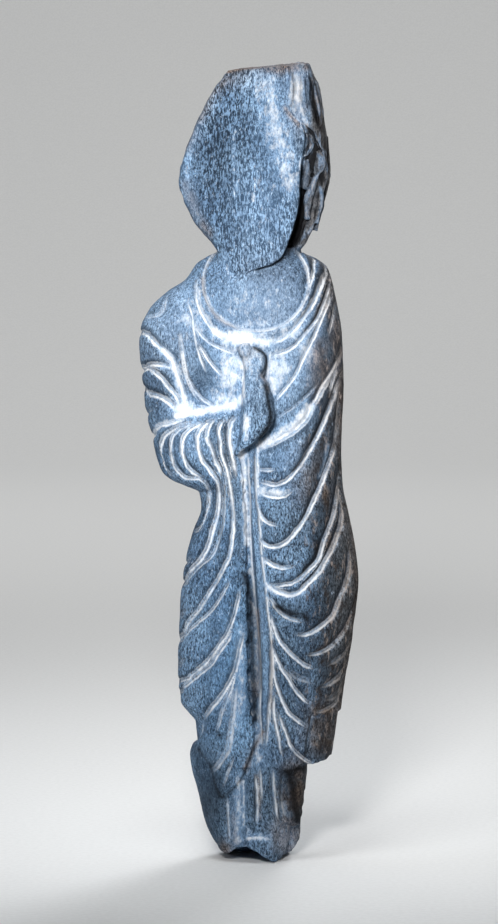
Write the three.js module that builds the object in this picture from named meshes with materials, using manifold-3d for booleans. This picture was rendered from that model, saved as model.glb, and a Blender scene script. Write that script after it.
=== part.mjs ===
// A broken standing Buddha figure carved from one block of grey schist, in the Gandharan manner.
// It faces -Y, +Z is up, and the middle of its underside is the origin. All sizes are in millimetres.
// The face is sheared off flat, the fingers of the raised hand are gone, and so are both feet.
import * as THREE from "three";
import { LoftGeometry } from "three/addons/geometries/LoftGeometry.js";
import { mergeVertices } from "three/addons/utils/BufferGeometryUtils.js";
import Module from "manifold-3d";

const wasm = await Module();
wasm.setup();

// Driving dimensions
const HEAD_TOP = 514; // the broken crown above the underside, at the middle of the head
const CROWN_SLOPE = 0.09; // the crown rises towards +X
const BACK_DEPTH = 44; // from the widest plane back to the roughly dressed flat back
const TRUNK_BOTTOM = 44;
const TRUNK_TOP = 395;
const STUMP_TOP = 112;
const NECK_BOTTOM = 372;
const HEAD_BOTTOM = 392;
const FRONT_LIMIT = -90; // in front of everything, where cutters start
const BACK_LIMIT = 90;

// Section counts around and along the main forms
const TRUNK_AROUND = { front: 24, back: 8 };
const TRUNK_ROW = 13;
const HEAD_AROUND = { front: 14, back: 8 };
const HEAD_ROW = 12;
const STUMP_AROUND = { front: 14, back: 7 };
const STUMP_ROW = 16;

// The carver's V-shaped chisel cut, and how far its cutter stands clear of the stone
const FOLD_DEPTH = 2.6;
const FOLD_WIDTH = 5.2;
const FOLD_STEP = 11;
const CUTTER_CLEARANCE = 1.6;
const SILHOUETTE_SHARE = 0.93; // beyond this share of the half width a cut turns round the side

// Outlines of the robed trunk: [height, x] at the edges, and [height, depth] at the front
const trunkLeft = profile([
  [395, -20], [389, -33], [378, -41], [370, -53], [358, -65], [342, -71.5], [325, -70.5], [300, -68],
  [275, -63], [258, -58.5], [252, -55.5], [248, -50.5], [244, -41], [240, -32.5], [230, -31], [212, -37],
  [190, -42.5], [165, -45], [120, -46.5], [103, -44.5], [96, -39.5], [90, -35], [76, -33.5], [44, -31],
]);
const trunkRight = profile([
  [395, 35], [391, 45], [385, 51.5], [370, 55.5], [340, 60.5], [310, 61.5], [270, 60], [245, 61],
  [225, 65], [205, 69], [180, 71.5], [165, 70], [140, 67], [105, 61], [70, 56], [44, 50],
]);
const trunkFront = profile([
  [395, 15], [380, 21], [350, 26], [310, 28], [270, 29], [220, 31], [180, 32], [120, 30], [44, 26],
]);
const trunkBack = profile([
  [395, 30], [380, 35], [350, 42], [320, BACK_DEPTH], [120, BACK_DEPTH], [44, 39],
]);
// The under robe and the broken ankles below it
const stumpLeft = profile([
  [112, -30], [80, -35.5], [70, -38.5], [60, -37.5], [45, -33.5], [24, -28.5], [14, -24], [6, -19.5], [0, -18],
]);
const stumpRight = profile([[112, 38], [60, 38], [45, 36.5], [30, 34.5], [14, 33], [6, 29.5], [0, 27.5]]);
const stumpFront = profile([[112, 25], [60, 25], [25, 24.5], [8, 23], [0, 21]]);
const stumpBack = profile([[112, 37], [40, 36], [10, 33], [0, 31]]);
// The neck, and the head before it was broken
const neckLeft = profile([[410, -20], [395, -19.5], [384, -25], [372, -30]]);
const neckRight = profile([[410, 34], [398, 33.5], [388, 37], [372, 44]]);
const neckFront = profile([[410, 10], [390, 13], [372, 19]]);
const headLeft = profile([
  [524, -6], [512, -14], [499, -23.5], [483, -32], [468, -38.5], [455, -43], [441, -45.5], [430, -42.5],
  [418, -37], [408, -30], [402, -24.5], [395, -20], [392, -19],
]);
const headRight = profile([
  [524, 35], [512, 41], [500, 45.5], [485, 48.5], [460, 50.5], [445, 51], [430, 47.5], [418, 44.5],
  [408, 38.5], [400, 33], [392, 31],
]);
const headFront = profile([[524, 30], [392, 33]]);
const headBack = profile([[524, 24], [500, 33], [450, 38], [415, 34], [392, 27]]);

// Soft swellings and hollows of the front: centre, spread and rise towards the viewer
const SWELLS = [
  { x: -40, z: 268, wide: 20, high: 19, rise: 8 }, // sleeve bunched over the forearm
  { x: -14, z: 262, wide: 14, high: 26, rise: 5 }, // forearm coming forward to the wrist
  { x: -27, z: 303, wide: 17, high: 14, rise: -8 }, // hollow above the forearm
  { x: -60, z: 330, wide: 15, high: 34, rise: 5 }, // upper arm
  { x: 4, z: 352, wide: 26, high: 20, rise: -3 }, // chest below the neckline
  { x: 34, z: 205, wide: 22, high: 62, rise: 5 }, // forward thigh
  { x: -24, z: 160, wide: 16, high: 60, rise: 3 }, // standing leg
  { x: 3, z: 150, wide: 11, high: 70, rise: -5 }, // valley between the legs
  { x: 66, z: 250, wide: 18, high: 130, rise: -7 }, // the side that turns away
  { x: 10, z: 282, wide: 12, high: 34, rise: -4 }, // hollow around the hand
];

// The vertical fall of cloth from the wrist: [height, left x, right x], and how proud it stands
const FALL_ROWS = [
  [268, -17, -8], [247, -20, -5], [228, -21, -3], [205, -22, -2], [180, -24, -1.5], [155, -26, -1.5],
  [128, -28, -2], [112, -29, -0.5], [92, -29, 2.5], [81, -28, 4], [73, -27, 1.5], [65, -25.5, -0.5],
  [54, -23, -5], [47, -21, -11.5], [42.5, -19, -17],
];
const FALL_RISE = 4.5;
const FALL_BURIED = 16;
// The rolled hem of the other half of the robe, down the middle
const HEM_ROWS = [
  [266, 1.5, 4.5], [235, 2, 6], [208, 2.5, 8], [170, 4.5, 11.5], [143, 6, 13.5], [117, 7, 14.5],
  [91, 8, 12.5], [74, 9, 10.5],
];
const HEM_RISE = 2.4;
// The groove between the two: [height, x, half width, depth]
const VALLEY_ROWS = [
  [270, -2, 2.5, 2], [250, -1.5, 3, 4], [210, 0, 3, 4.5], [182, 1.5, 3, 6], [155, 2.2, 4, 9],
  [130, 2.4, 4, 8.5], [105, 3.6, 4, 7.5], [84, 6, 2.5, 5], [72, 7.5, 1.5, 2],
];

// Front-view outlines, as [x, z]
const HEM_LINE = [
  [-33, 77], [-26, 72], [6, 75], [10, 75.5], [12.5, 67.5], [15.5, 62], [22, 57], [28, 59],
  [33, 62], [39.5, 63.5], [44, 62], [50, 64.5], [56, 70],
];
const FACE_EDGE = [
  [25.5, 530], [26, 495], [23, 489.5], [28.5, 485.5], [34, 479], [36, 470], [34, 458], [33, 442],
  [32.5, 429], [30.5, 420], [26.5, 407], [21, 396], [15, 389.5], [6, 385], [-3, 381], [-9, 377],
];
const HAIR_BLOCK = [
  [24, 516], [38.5, 517], [43, 506], [46, 496], [47.5, 484], [45.5, 476.5], [39.5, 475],
  [34, 479], [28.5, 485.5], [24, 489.5],
];
// The flat broken face where it hangs over the neck and the neckline
const CHIN_SLAB = [
  [-44, 442], [-30, 426], [-26, 413], [-21, 398], [-16, 385], [-10, 378], [-2.5, 378.5], [6, 383],
  [15, 388.5], [21, 395], [26.5, 406], [30.5, 419], [32, 440], [10, 450],
];
const BROKEN_TOE_GAP = [
  [-11.5, -2], [-10, 7], [-7.5, 9.5], [0, 9], [8, 5.2], [15, 0.8], [16.5, -2],
];

// Raised hand, palm to the front: [height, left x, right x, front y]
const HAND_ROWS = [
  [264, -9.5, -6.5, -40], [268, -8.5, 0, -43], [274, -7, 8, -45.5], [281, -6, 13.5, -46.5],
  [289, -5.5, 15.8, -46.5], [297, -5, 15, -46.5], [303, -4.5, 12.5, -45], [309, -3.8, 9.5, -43.5],
  [316, -3, 8, -42.5], [322, -3.2, 10.5, -42], [328, -4.8, 11.5, -41], [332.5, -6, 9, -40],
  [336, -5, 5, -37],
];
const HAND_BACK = -18;
// The opening of the robe at the neck, and how far the bare chest lies behind the cloth
const NECK_OPENING = { centre: [4, 374.5], radius: [35.5, 31] };
const NECK_RECESS = 2.2;

// Locks of hair and the long ear that are left beside the broken face: [x, y, z], then radius
const STRANDS = [
  { path: [[30, -7, 488], [38, -10, 477], [42, -9, 466], [37, -6, 458]], radius: 2.6 },
  { path: [[41, -6, 480], [46, -4, 468], [49, 0, 455], [49, 4, 446]], radius: 3.4 },
  { path: [[36, -8, 462], [41, -9, 452], [38, -8, 441], [40, -7, 430]], radius: 2.8 },
  { path: [[50, 0, 449], [44, -4, 440], [46, -5, 428], [45, -4, 417], [39, -3, 407]], radius: 3 },
];

// Folds of the robe, each a smooth cut through points of the front view. Past the edge they go round the side.
const NECKLINES = [
  { centre: [4, 374.5], radius: [34.5, 30], from: 152, to: 400 },
  { centre: [4, 374.5], radius: [38.5, 36], from: 158, to: 385 },
];
const FOLDS = [
  // shoulder and chest, from the far shoulder to the hand
  [[50.5, 383], [41, 353], [12.5, 335.5]],
  [[54, 373], [41, 345], [13, 327]],
  [[47.5, 350.5], [35, 327], [16, 300.5]],
  [[60, 331], [56, 314], [52, 301.5]],
  // bowed folds hung between the middle hem and the far arm
  [[8.5, 269], [25.5, 276], [43.5, 294.5]],
  [[6, 248.5], [15, 244.5], [37, 263], [55, 303]],
  [[6, 216.5], [15, 205], [33, 218.5], [50, 255.5]],
  [[8, 199], [15, 192.5], [28.5, 192.5]],
  [[12.5, 181], [25.5, 175], [49.5, 195.5], [62, 241]],
  [[11, 175], [20, 161], [36.5, 155.5]],
  [[29, 147.5], [47.5, 152], [62.5, 173.5], [66, 200]],
  [[11.5, 168.5], [21.5, 142.5], [43, 125.5]],
  [[36.5, 133], [54.5, 140.5], [74, 169.5]],
  [[41, 124], [56, 130], [73, 149]],
  [[45, 113], [58, 120], [71, 138.5]],
  [[13.5, 143.5], [22, 119], [41, 101]],
  [[14.5, 127.5], [23, 102], [39.5, 86]],
  [[38.5, 99.5], [51.5, 99.5], [66, 114]],
  [[16, 108], [24, 83], [39.5, 64.5]],
  [[15.5, 101.5], [19, 78.5], [24.5, 62.5]],
  // folds that sweep from the fall of cloth to the near edge
  [[-26, 242.5], [-27.5, 230], [-36, 212]],
  [[-19.5, 242.5], [-21, 213], [-48, 179]],
  [[-10, 234.5], [-16, 184], [-51, 141]],
  [[-6, 205.5], [-11, 155.5], [-52, 107]],
  [[-2, 147], [-10, 117.5], [-30, 91.5]],
  [[-2, 108], [-7, 80], [-23.5, 57]],
  // sleeve pulled over the bent elbow
  [[-45, 283], [-58, 264], [-48, 247]],
  [[-32, 286.5], [-43, 266], [-26.5, 244]],
  [[-26, 288], [-32.5, 268.5], [-19.5, 243]],
  [[-21, 289], [-24.5, 270], [-11, 240]],
  [[-15.5, 291], [-19, 271], [-7, 238]],
  // crease between the upper arm and the chest
  [[-64.5, 342], [-48, 324.5], [-32, 293]],
  [[-73, 320], [-54.5, 323], [-38.5, 299.5]],
  [[-75, 306], [-56, 298.5], [-43.5, 285.5]],
  [[-38.5, 357], [-32.5, 331], [-19.5, 306]],
  [[-42, 335.5], [-36.5, 306], [-15, 291]],
  // pleats of the under robe
  [[-4, 51.5], [-4, 32], [-5, 10.5]],
  [[5, 71], [5, 49.5], [5, 26.5]],
  [[13, 60.5], [15.5, 39.5], [19.5, 20]],
  [[-13, 43], [-13, 26.5], [-11.5, 10.5]],
];

// A smooth function of height through a few [height, value] pairs, with no overshoot between them.
function profile(pairs) {
  const rows = [...pairs].sort((a, b) => a[0] - b[0]);
  const slope = rows.slice(1).map((row, i) => (row[1] - rows[i][1]) / (row[0] - rows[i][0]));
  const tangent = rows.map((_, i) => {
    if (i === 0) return slope[0];
    if (i === slope.length) return slope[i - 1];
    const [before, after] = [slope[i - 1], slope[i]];
    return before * after > 0 ? (2 * before * after) / (before + after) : 0;
  });
  return (height) => {
    const z = THREE.MathUtils.clamp(height, rows[0][0], rows.at(-1)[0]);
    const i = Math.min(slope.length - 1, Math.max(0, rows.findIndex((row) => row[0] >= z) - 1));
    const span = rows[i + 1][0] - rows[i][0];
    const t = (z - rows[i][0]) / span;
    return (
      rows[i][1] * (1 + 2 * t) * (1 - t) ** 2 +
      tangent[i] * span * t * (1 - t) ** 2 +
      rows[i + 1][1] * t * t * (3 - 2 * t) +
      tangent[i + 1] * span * t * t * (t - 1)
    );
  };
}

// A closed geometry as a manifold solid.
function solid(geometry) {
  const bare = new THREE.BufferGeometry().setAttribute("position", geometry.getAttribute("position"));
  const merged = mergeVertices(bare.setIndex(geometry.getIndex()), 1e-4);
  return new wasm.Manifold(
    new wasm.Mesh({
      numProp: 3,
      vertProperties: merged.attributes.position.array,
      triVerts: new Uint32Array(merged.index.array),
    }),
  );
}

// A manifold solid as a geometry.
function geometryOf(body) {
  const mesh = body.getMesh();
  return new THREE.BufferGeometry()
    .setAttribute("position", new THREE.BufferAttribute(new Float32Array(mesh.vertProperties), 3))
    .setIndex(new THREE.BufferAttribute(new Uint32Array(mesh.triVerts), 1));
}

const union = (bodies) => bodies.reduce((sum, body) => sum.add(body));
const middleOf = (points) => points.reduce((sum, p) => sum.add(p), new THREE.Vector3()).divideScalar(points.length);
const signedPower = (value, power) => Math.sign(value) * Math.abs(value) ** power;

// A solid through rings of points, whichever way round the rings run.
function loft(sections) {
  const [first, second] = sections;
  const middle = middleOf(first);
  const turning = first.reduce((sum, p, i) => {
    const next = first[(i + 1) % first.length];
    return sum.add(p.clone().sub(middle).cross(next.clone().sub(middle)));
  }, new THREE.Vector3());
  const forwards = turning.dot(middleOf(second).sub(middle)) > 0;
  const rings = forwards ? sections : sections.map((section) => [...section].reverse());
  return solid(new LoftGeometry(rings, { capStart: true, capEnd: true }));
}

function heights(bottom, top, step, extra = []) {
  const count = Math.ceil((top - bottom) / step);
  const even = Array.from({ length: count + 1 }, (_, i) => bottom + ((top - bottom) * i) / count);
  const clear = even.filter((z) => extra.every((other) => Math.abs(z - other) > step / 3));
  return [...clear, ...extra].sort((a, b) => a - b);
}

// A level ring: rounded in front, flatter behind, with more points in front.
function ring(z, left, right, front, back, around, frontPower, backPower) {
  const middle = (left + right) / 2;
  const half = (right - left) / 2;
  const arc = (count, start, depth, power) =>
    Array.from({ length: count }, (_, i) => {
      const angle = start + (Math.PI * i) / count;
      return new THREE.Vector3(
        middle + half * signedPower(Math.cos(angle), 2 / power),
        depth * signedPower(Math.sin(angle), 2 / power),
        z,
      );
    });
  return [
    ...arc(around.back, 0, back, backPower),
    ...arc(around.front, Math.PI, front, frontPower),
  ];
}

function swellAt(x, z) {
  return SWELLS.reduce(
    (sum, s) => sum + s.rise * Math.exp(-(((x - s.x) / s.wide) ** 2) - ((z - s.z) / s.high) ** 2),
    0,
  );
}

// The robed trunk with both arms, before any cloth edge or fold is cut.
function trunk(rows, inset) {
  return loft(
    rows.map((z) => {
      const front = trunkFront(z) - inset;
      const points = ring(z, trunkLeft(z), trunkRight(z), front, trunkBack(z), TRUNK_AROUND, 2.3, 4);
      for (const p of points) if (p.y < 0) p.y -= swellAt(p.x, z) * Math.min(1, (-p.y / front) * 1.4);
      return points;
    }),
  );
}

// The neck opening of the robe, cut back to the chest.
function neckOpening() {
  const { centre, radius } = NECK_OPENING;
  const steps = 20;
  const outline = Array.from({ length: steps }, (_, i) => {
    const angle = (2 * Math.PI * i) / steps;
    return [centre[0] + radius[0] * Math.cos(angle), centre[1] + radius[1] * Math.sin(angle)];
  });
  return slab(outline, FRONT_LIMIT, 0).subtract(trunk(heights(330, TRUNK_TOP + 4, TRUNK_ROW), NECK_RECESS));
}

// What is cut away below the ragged hem of the robe.
function belowHem() {
  const outline = [[-90, 77], ...HEM_LINE, [90, 76], [90, 20], [-90, 20]];
  return slab(outline, FRONT_LIMIT, BACK_LIMIT);
}

// A front-view outline carried through from one depth to another.
function slab(outline, nearY, farY) {
  const shape = new THREE.Shape(outline.map(([x, z]) => new THREE.Vector2(x, z)));
  const geometry = new THREE.ExtrudeGeometry(shape, { depth: farY - nearY, bevelEnabled: false, curveSegments: 1 });
  return solid(geometry.rotateX(Math.PI / 2).translate(0, farY, 0));
}

function stump() {
  const rows = heights(0, STUMP_TOP, STUMP_ROW, [6]);
  const body = loft(
    rows.map((z) => ring(z, stumpLeft(z), stumpRight(z), stumpFront(z), stumpBack(z), STUMP_AROUND, 2.6, 3.5)),
  );
  return body.subtract(slab(BROKEN_TOE_GAP, FRONT_LIMIT, -9));
}

// Front surface of the swollen trunk, by the same formula as its rings.
function trunkFrontY(x, z) {
  const half = (trunkRight(z) - trunkLeft(z)) / 2;
  const middle = (trunkRight(z) + trunkLeft(z)) / 2;
  const share = Math.min(1, Math.abs((x - middle) / half));
  const round = (1 - share ** 2.3) ** (1 / 2.3);
  return -trunkFront(z) * round - swellAt(x, z) * Math.min(1, round * 1.4);
}

// A strip of cloth that stands proud of the trunk, from rows of [height, left, right].
function strip(rows, rise, leftRise) {
  return loft(
    rows.map(([z, left, right]) => {
      const edge = Math.min(1.2, (right - left) / 4);
      const y = (x, lift) => trunkFrontY(x, z) - lift;
      const at = (x, depth) => new THREE.Vector3(x, depth, z);
      return [
        at(right, y(right, rise) + FALL_BURIED),
        at(left, y(left, rise) + FALL_BURIED),
        at(left, y(left, leftRise)),
        at((left + right) / 2, y((left + right) / 2, (rise + leftRise) / 2)),
        at(right - edge, y(right, rise)),
        at(right, y(right, rise) + edge),
      ];
    }).reverse(),
  );
}

function valley() {
  return loft(
    VALLEY_ROWS.map(([z, x, half, depth]) => {
      const y = trunkFrontY(x, z);
      const at = (dx, depthY) => new THREE.Vector3(x + dx, depthY, z);
      return [at(-half, FRONT_LIMIT), at(-half, y), at(-half * 0.4, y + depth), at(half * 0.6, y + depth), at(half, y), at(half, FRONT_LIMIT)];
    }).reverse(),
  );
}

function hand() {
  return loft(
    HAND_ROWS.map(([z, left, right, front]) => {
      const round = Math.min(4, (right - left) / 3);
      const at = (x, y) => new THREE.Vector3(x, y, z);
      return [
        at(right, HAND_BACK), at(left, HAND_BACK), at(left, front + round), at(left + round, front),
        at(right - round, front), at(right, front + round),
      ];
    }),
  );
}

// A tapering round bar along a smooth path.
function strand({ path, radius }) {
  const curve = new THREE.CatmullRomCurve3(path.map((p) => new THREE.Vector3(...p)));
  const steps = path.length * 2;
  const sides = 6;
  const frames = curve.computeFrenetFrames(steps, false);
  return loft(
    Array.from({ length: steps + 1 }, (_, i) => {
      const centre = curve.getPointAt(i / steps);
      const size = radius * (0.45 + 0.55 * Math.sin((Math.PI * i) / steps));
      return Array.from({ length: sides }, (_, j) => {
        const angle = (2 * Math.PI * j) / sides;
        return centre
          .clone()
          .addScaledVector(frames.normals[i], size * Math.cos(angle))
          .addScaledVector(frames.binormals[i], size * Math.sin(angle));
      });
    }),
  );
}

// A large block whose lower face is the given plane, for breaking stone off flat.
function beyondPlane(point, normal) {
  const size = 260;
  const block = new THREE.BoxGeometry(size, size, size).translate(0, 0, size / 2);
  const turn = new THREE.Quaternion().setFromUnitVectors(
    new THREE.Vector3(0, 0, 1),
    new THREE.Vector3(...normal).normalize(),
  );
  return solid(block.applyQuaternion(turn).translate(...point));
}

function head() {
  const skull = loft(
    heights(HEAD_BOTTOM, 524, HEAD_ROW).map((z) =>
      ring(z, headLeft(z), headRight(z), headFront(z), headBack(z), HEAD_AROUND, 2.2, 2.4),
    ),
  );
  const neck = loft(
    heights(NECK_BOTTOM, 410, HEAD_ROW).map((z) =>
      ring(z, neckLeft(z), neckRight(z), neckFront(z), 30, HEAD_AROUND, 2.3, 2.6),
    ),
  );
  const brokenFace = beyondPlane([0, -17, 450], [-0.12, -1, 0.1]);
  const brokenCrown = beyondPlane([0, 0, HEAD_TOP], [-CROWN_SLOPE, -0.05, 1]);
  const brokenCheek = beyondPlane([-31, -15, 425], [-0.8, -0.95, -0.28]);
  const besideFace = slab([...FACE_EDGE, [-9, 366], [90, 366], [90, 530]], FRONT_LIMIT, -8);
  const hair = slab(HAIR_BLOCK, -15, 6);
  const chin = slab(CHIN_SLAB, -40, 5);
  const broken = union([skull.subtract(besideFace), chin]).subtract(brokenFace).subtract(brokenCheek);
  return union([union([broken, hair]).subtract(brokenCrown), neck, ...STRANDS.map(strand)]);
}

// Where a cut meets the stone: straight back from the front view, or in from the side past the silhouette.
function surfaceFinder(body) {
  const mesh = new THREE.Mesh(geometryOf(body), new THREE.MeshBasicMaterial({ side: THREE.FrontSide }));
  const caster = new THREE.Raycaster();
  const hitFrom = (from, direction) => {
    caster.set(from, direction);
    return caster.intersectObject(mesh)[0];
  };
  const cast = (from, direction) => {
    const start = new THREE.Vector3(...from);
    const towards = new THREE.Vector3(...direction);
    const hit = hitFrom(start, towards);
    if (!hit) return undefined;
    const normal = hit.face.normal.clone();
    for (const step of [[0, 0, 4], [0, 0, -4], [4, 0, 0], [-4, 0, 0]]) {
      const near = hitFrom(start.clone().add(new THREE.Vector3(...step)), towards);
      if (near && near.point.distanceTo(hit.point) < 7) normal.add(near.face.normal);
    }
    return { point: hit.point, normal: normal.normalize() };
  };
  return (x, z) => {
    const left = z > STUMP_TOP ? trunkLeft(z) : Math.min(trunkLeft(z), stumpLeft(z));
    const right = trunkRight(z);
    const middle = (left + right) / 2;
    const reach = ((right - left) / 2) * SILHOUETTE_SHARE;
    const past = Math.abs(x - middle) - reach;
    if (past <= 0) return cast([x, FRONT_LIMIT, z], [0, 1, 0]);
    const side = Math.sign(x - middle);
    const turn = cast([middle + side * reach, FRONT_LIMIT, z], [0, 1, 0]);
    return turn && cast([side * 120, turn.point.y + past * 1.3, z], [-side, 0, 0]);
  };
}

// One tapering V-shaped cut along a line on the stone.
function chiselCut(line, find) {
  const spots = line.map(([x, z]) => find(x, z)).filter(Boolean);
  const spread = FOLD_WIDTH / 2 / FOLD_DEPTH;
  return loft(
    spots.map(({ point }, i) => {
      const before = spots[Math.max(0, i - 1)];
      const after = spots[Math.min(spots.length - 1, i + 1)];
      const normal = before.normal.clone().add(after.normal).add(spots[i].normal).normalize();
      const along = after.point.clone().sub(before.point).normalize();
      const across = new THREE.Vector3().crossVectors(along, normal).normalize();
      const fromEnd = Math.min(i, spots.length - 1 - i);
      const depth = FOLD_DEPTH * Math.min(1, 0.25 + fromEnd * 0.5);
      const lip = (depth + CUTTER_CLEARANCE) * spread;
      const top = point.clone().addScaledVector(normal, CUTTER_CLEARANCE);
      return [
        top.clone().addScaledVector(across, lip),
        top.clone().addScaledVector(across, -lip),
        point.clone().addScaledVector(normal, -depth),
      ];
    }),
  );
}

function foldLines() {
  const arcs = NECKLINES.map(({ centre, radius, from, to }) => {
    const steps = 16;
    return Array.from({ length: steps + 1 }, (_, i) => {
      const angle = THREE.MathUtils.degToRad(from + ((to - from) * i) / steps);
      return [centre[0] + radius[0] * Math.cos(angle), centre[1] + radius[1] * Math.sin(angle)];
    });
  });
  const bends = FOLDS.map((points) => {
    const curve = new THREE.CatmullRomCurve3(points.map(([x, z]) => new THREE.Vector3(x, 0, z)));
    const steps = Math.max(3, Math.round(curve.getLength() / FOLD_STEP));
    return curve.getSpacedPoints(steps).map((p) => [p.x, p.z]);
  });
  return [...arcs, ...bends];
}

function figure() {
  const elbowRows = [240, 244, 248, 253];
  const rows = heights(TRUNK_BOTTOM, TRUNK_TOP, TRUNK_ROW, elbowRows);
  const robe = trunk(rows, 0).subtract(neckOpening()).subtract(valley()).subtract(belowHem());
  const rough = union([
    robe,
    stump(),
    head(),
    hand(),
    strip(FALL_ROWS, FALL_RISE, 0.2),
    strip(HEM_ROWS, HEM_RISE, HEM_RISE),
  ]);
  const find = surfaceFinder(rough);
  const cut = rough.subtract(union(foldLines().map((line) => chiselCut(line, find))));
  // A chip that crossing cuts have freed falls away.
  const [carved] = cut.decompose().sort((a, b) => b.volume() - a.volume());
  const stone = new THREE.MeshStandardMaterial({ color: 0x5c6b7d, roughness: 0.72, metalness: 0 });
  const mesh = new THREE.Mesh(geometryOf(carved), stone);
  mesh.name = "standing_figure";
  return mesh;
}

const statue = new THREE.Group();
statue.add(figure());

export default statue;
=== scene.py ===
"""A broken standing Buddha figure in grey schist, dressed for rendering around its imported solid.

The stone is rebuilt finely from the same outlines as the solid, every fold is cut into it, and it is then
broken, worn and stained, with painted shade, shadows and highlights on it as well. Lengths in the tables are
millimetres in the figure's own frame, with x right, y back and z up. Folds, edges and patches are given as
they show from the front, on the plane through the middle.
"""

import math

import bpy
import numpy as np
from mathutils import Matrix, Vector


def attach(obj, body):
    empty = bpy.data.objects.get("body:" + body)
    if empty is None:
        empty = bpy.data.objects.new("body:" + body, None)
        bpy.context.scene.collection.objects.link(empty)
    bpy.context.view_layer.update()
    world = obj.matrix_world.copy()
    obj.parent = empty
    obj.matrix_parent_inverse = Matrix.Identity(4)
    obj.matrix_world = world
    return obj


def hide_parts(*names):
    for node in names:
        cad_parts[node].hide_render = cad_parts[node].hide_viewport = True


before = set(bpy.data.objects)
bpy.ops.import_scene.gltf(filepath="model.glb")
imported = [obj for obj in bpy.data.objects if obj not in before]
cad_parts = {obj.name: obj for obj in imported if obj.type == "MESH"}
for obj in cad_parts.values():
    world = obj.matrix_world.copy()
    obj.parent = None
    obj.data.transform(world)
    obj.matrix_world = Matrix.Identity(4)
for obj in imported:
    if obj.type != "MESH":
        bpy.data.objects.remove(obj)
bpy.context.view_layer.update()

MM = 0.001
GRID = 0.7  # height between the level rings of the first surface
VOXEL = 0.7  # of the joined stone
MOST_TRIANGLES = 194000
BEHIND = 0.25  # a normal further back than this belongs to the plain back, which is thinned out first
THINNING = (0.3, 0.65, 1.0)  # how readily the folds and ear, the rest of the front, and the back are thinned
THINNING_FACTOR = 0.00003

# Camera, set by the photograph's frame: it shows this height of the figure's plane at this distance
VIEW_HEIGHT = 600.6
VIEW_CENTRE = 259.35
CAMERA_DISTANCE = 2600
CAMERA_ELEVATION = 4
FLOOR_RADIUS = 3.6  # metres, up to where the floor starts to rise
CURVE_RADIUS = 1.8

# Points on the front and on the back of each level ring, and how square they are: 2 is an ellipse
TRUNK_COUNTS, TRUNK_POWERS = (280, 170), (2.3, 4)
STUMP_COUNTS, STUMP_POWERS = (170, 120), (2.6, 3.5)
HEAD_COUNTS, HEAD_POWERS = (240, 140), (2.2, 2.4)
NECK_COUNTS, NECK_POWERS = (120, 80), (2.3, 2.6)
HAND_COUNTS, HAND_POWERS = (60, 60), (3.2, 3)

# Outlines of the robed trunk: (height, x) at the edges and (height, depth) at the front and back
TRUNK_BOTTOM = 40
TRUNK_TOP = 395
BACK_DEPTH = 44
TRUNK_LEFT = [
    (395, -20), (389, -33), (378, -41), (370, -53), (358, -65), (342, -71.5), (325, -70.5), (300, -68),
    (275, -63), (258, -58.5), (252, -55.5), (248, -50.5), (244, -41), (240, -32.5), (230, -31), (212, -37),
    (190, -42.5), (165, -45), (120, -46.5), (103, -44.5), (96, -39.5), (90, -35), (76, -33.5), (44, -31),
]
TRUNK_RIGHT = [
    (395, 35), (391, 45), (385, 51.5), (370, 55.5), (340, 60.5), (310, 61.5), (270, 60), (245, 61),
    (225, 65), (205, 69), (180, 71.5), (165, 70), (140, 67), (105, 61), (70, 56), (44, 50),
]
TRUNK_FRONT = [
    (395, 15), (380, 21), (350, 26), (310, 28), (270, 29), (220, 31), (180, 32), (120, 30), (44, 26),
]
TRUNK_BACK = [(395, 30), (380, 35), (350, 42), (320, BACK_DEPTH), (120, BACK_DEPTH), (44, 39)]
# The under robe and the broken ankles
STUMP_TOP = 112
STUMP_LEFT = [
    (112, -30), (78, -32.5), (75.5, -34), (73.2, -37.2), (68, -38.5), (60, -37.5), (45, -33.5), (24, -28.5),
    (14, -24), (6, -19.5), (0, -18),
]
STUMP_RIGHT = [(112, 38), (60, 38), (45, 36.5), (30, 34.5), (14, 33), (6, 29.5), (0, 27.5)]
STUMP_FRONT = [(112, 25), (60, 25), (25, 24.5), (8, 23), (0, 21)]
STUMP_BACK = [(112, 37), (40, 36), (10, 33), (0, 31)]
STUMP_CENTRE = (2, 6)  # what the trunk draws in towards below its hem, and to which share of the stump
STUMP_INSIDE = 0.82
UNDERSIDE_SHARES = (0.03, 0.98, 36)  # first and last share, and number, of the rings across the underside
NECK_BOTTOM = 372
NECK_LEFT = [(410, -20), (395, -19.5), (384, -25), (372, -30)]
NECK_RIGHT = [(410, 34), (398, 33.5), (388, 37), (372, 44)]
NECK_FRONT = [(410, 10), (390, 13), (372, 19)]
NECK_TOP = 399
NECK_BACK = 30
HEAD_BOTTOM = 392
HEAD_TOP = 524
CROWN = (514, 0.09, 0.05)  # height of the broken crown in the middle, and its slope to the right and back
HEAD_LEFT = [
    (524, -6), (512, -14), (499, -23.5), (483, -32), (468, -38.5), (455, -43), (441, -45.5), (430, -42.5),
    (418, -37), (408, -30), (402, -24.5), (395, -20), (392, -19),
]
HEAD_RIGHT = [
    (524, 35), (512, 41), (500, 45.5), (485, 48.5), (460, 50.5), (445, 51), (430, 47.5), (418, 44.5),
    (408, 38.5), (400, 33), (392, 31),
]
HEAD_FRONT = [(524, 30), (392, 33)]
HEAD_BACK = [(524, 24), (500, 33), (450, 38), (415, 34), (392, 27)]

# Soft swellings and hollows of the front: x, z, half width, half height, rise towards the viewer
SWELLS = [
    (-40, 268, 20, 19, 8), (-14, 262, 14, 26, 5), (-27, 303, 17, 14, -8), (-60, 330, 15, 34, 5),
    (4, 352, 26, 20, -3), (34, 205, 22, 62, 5), (-24, 160, 16, 60, 3), (3, 150, 11, 70, -5),
    (66, 250, 18, 130, -7), (10, 282, 12, 34, -4), (-8, 375, 9, 12, 3),
]
SWELL_EDGE = 1.4  # the higher this is, the nearer to the outline they reach

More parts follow.
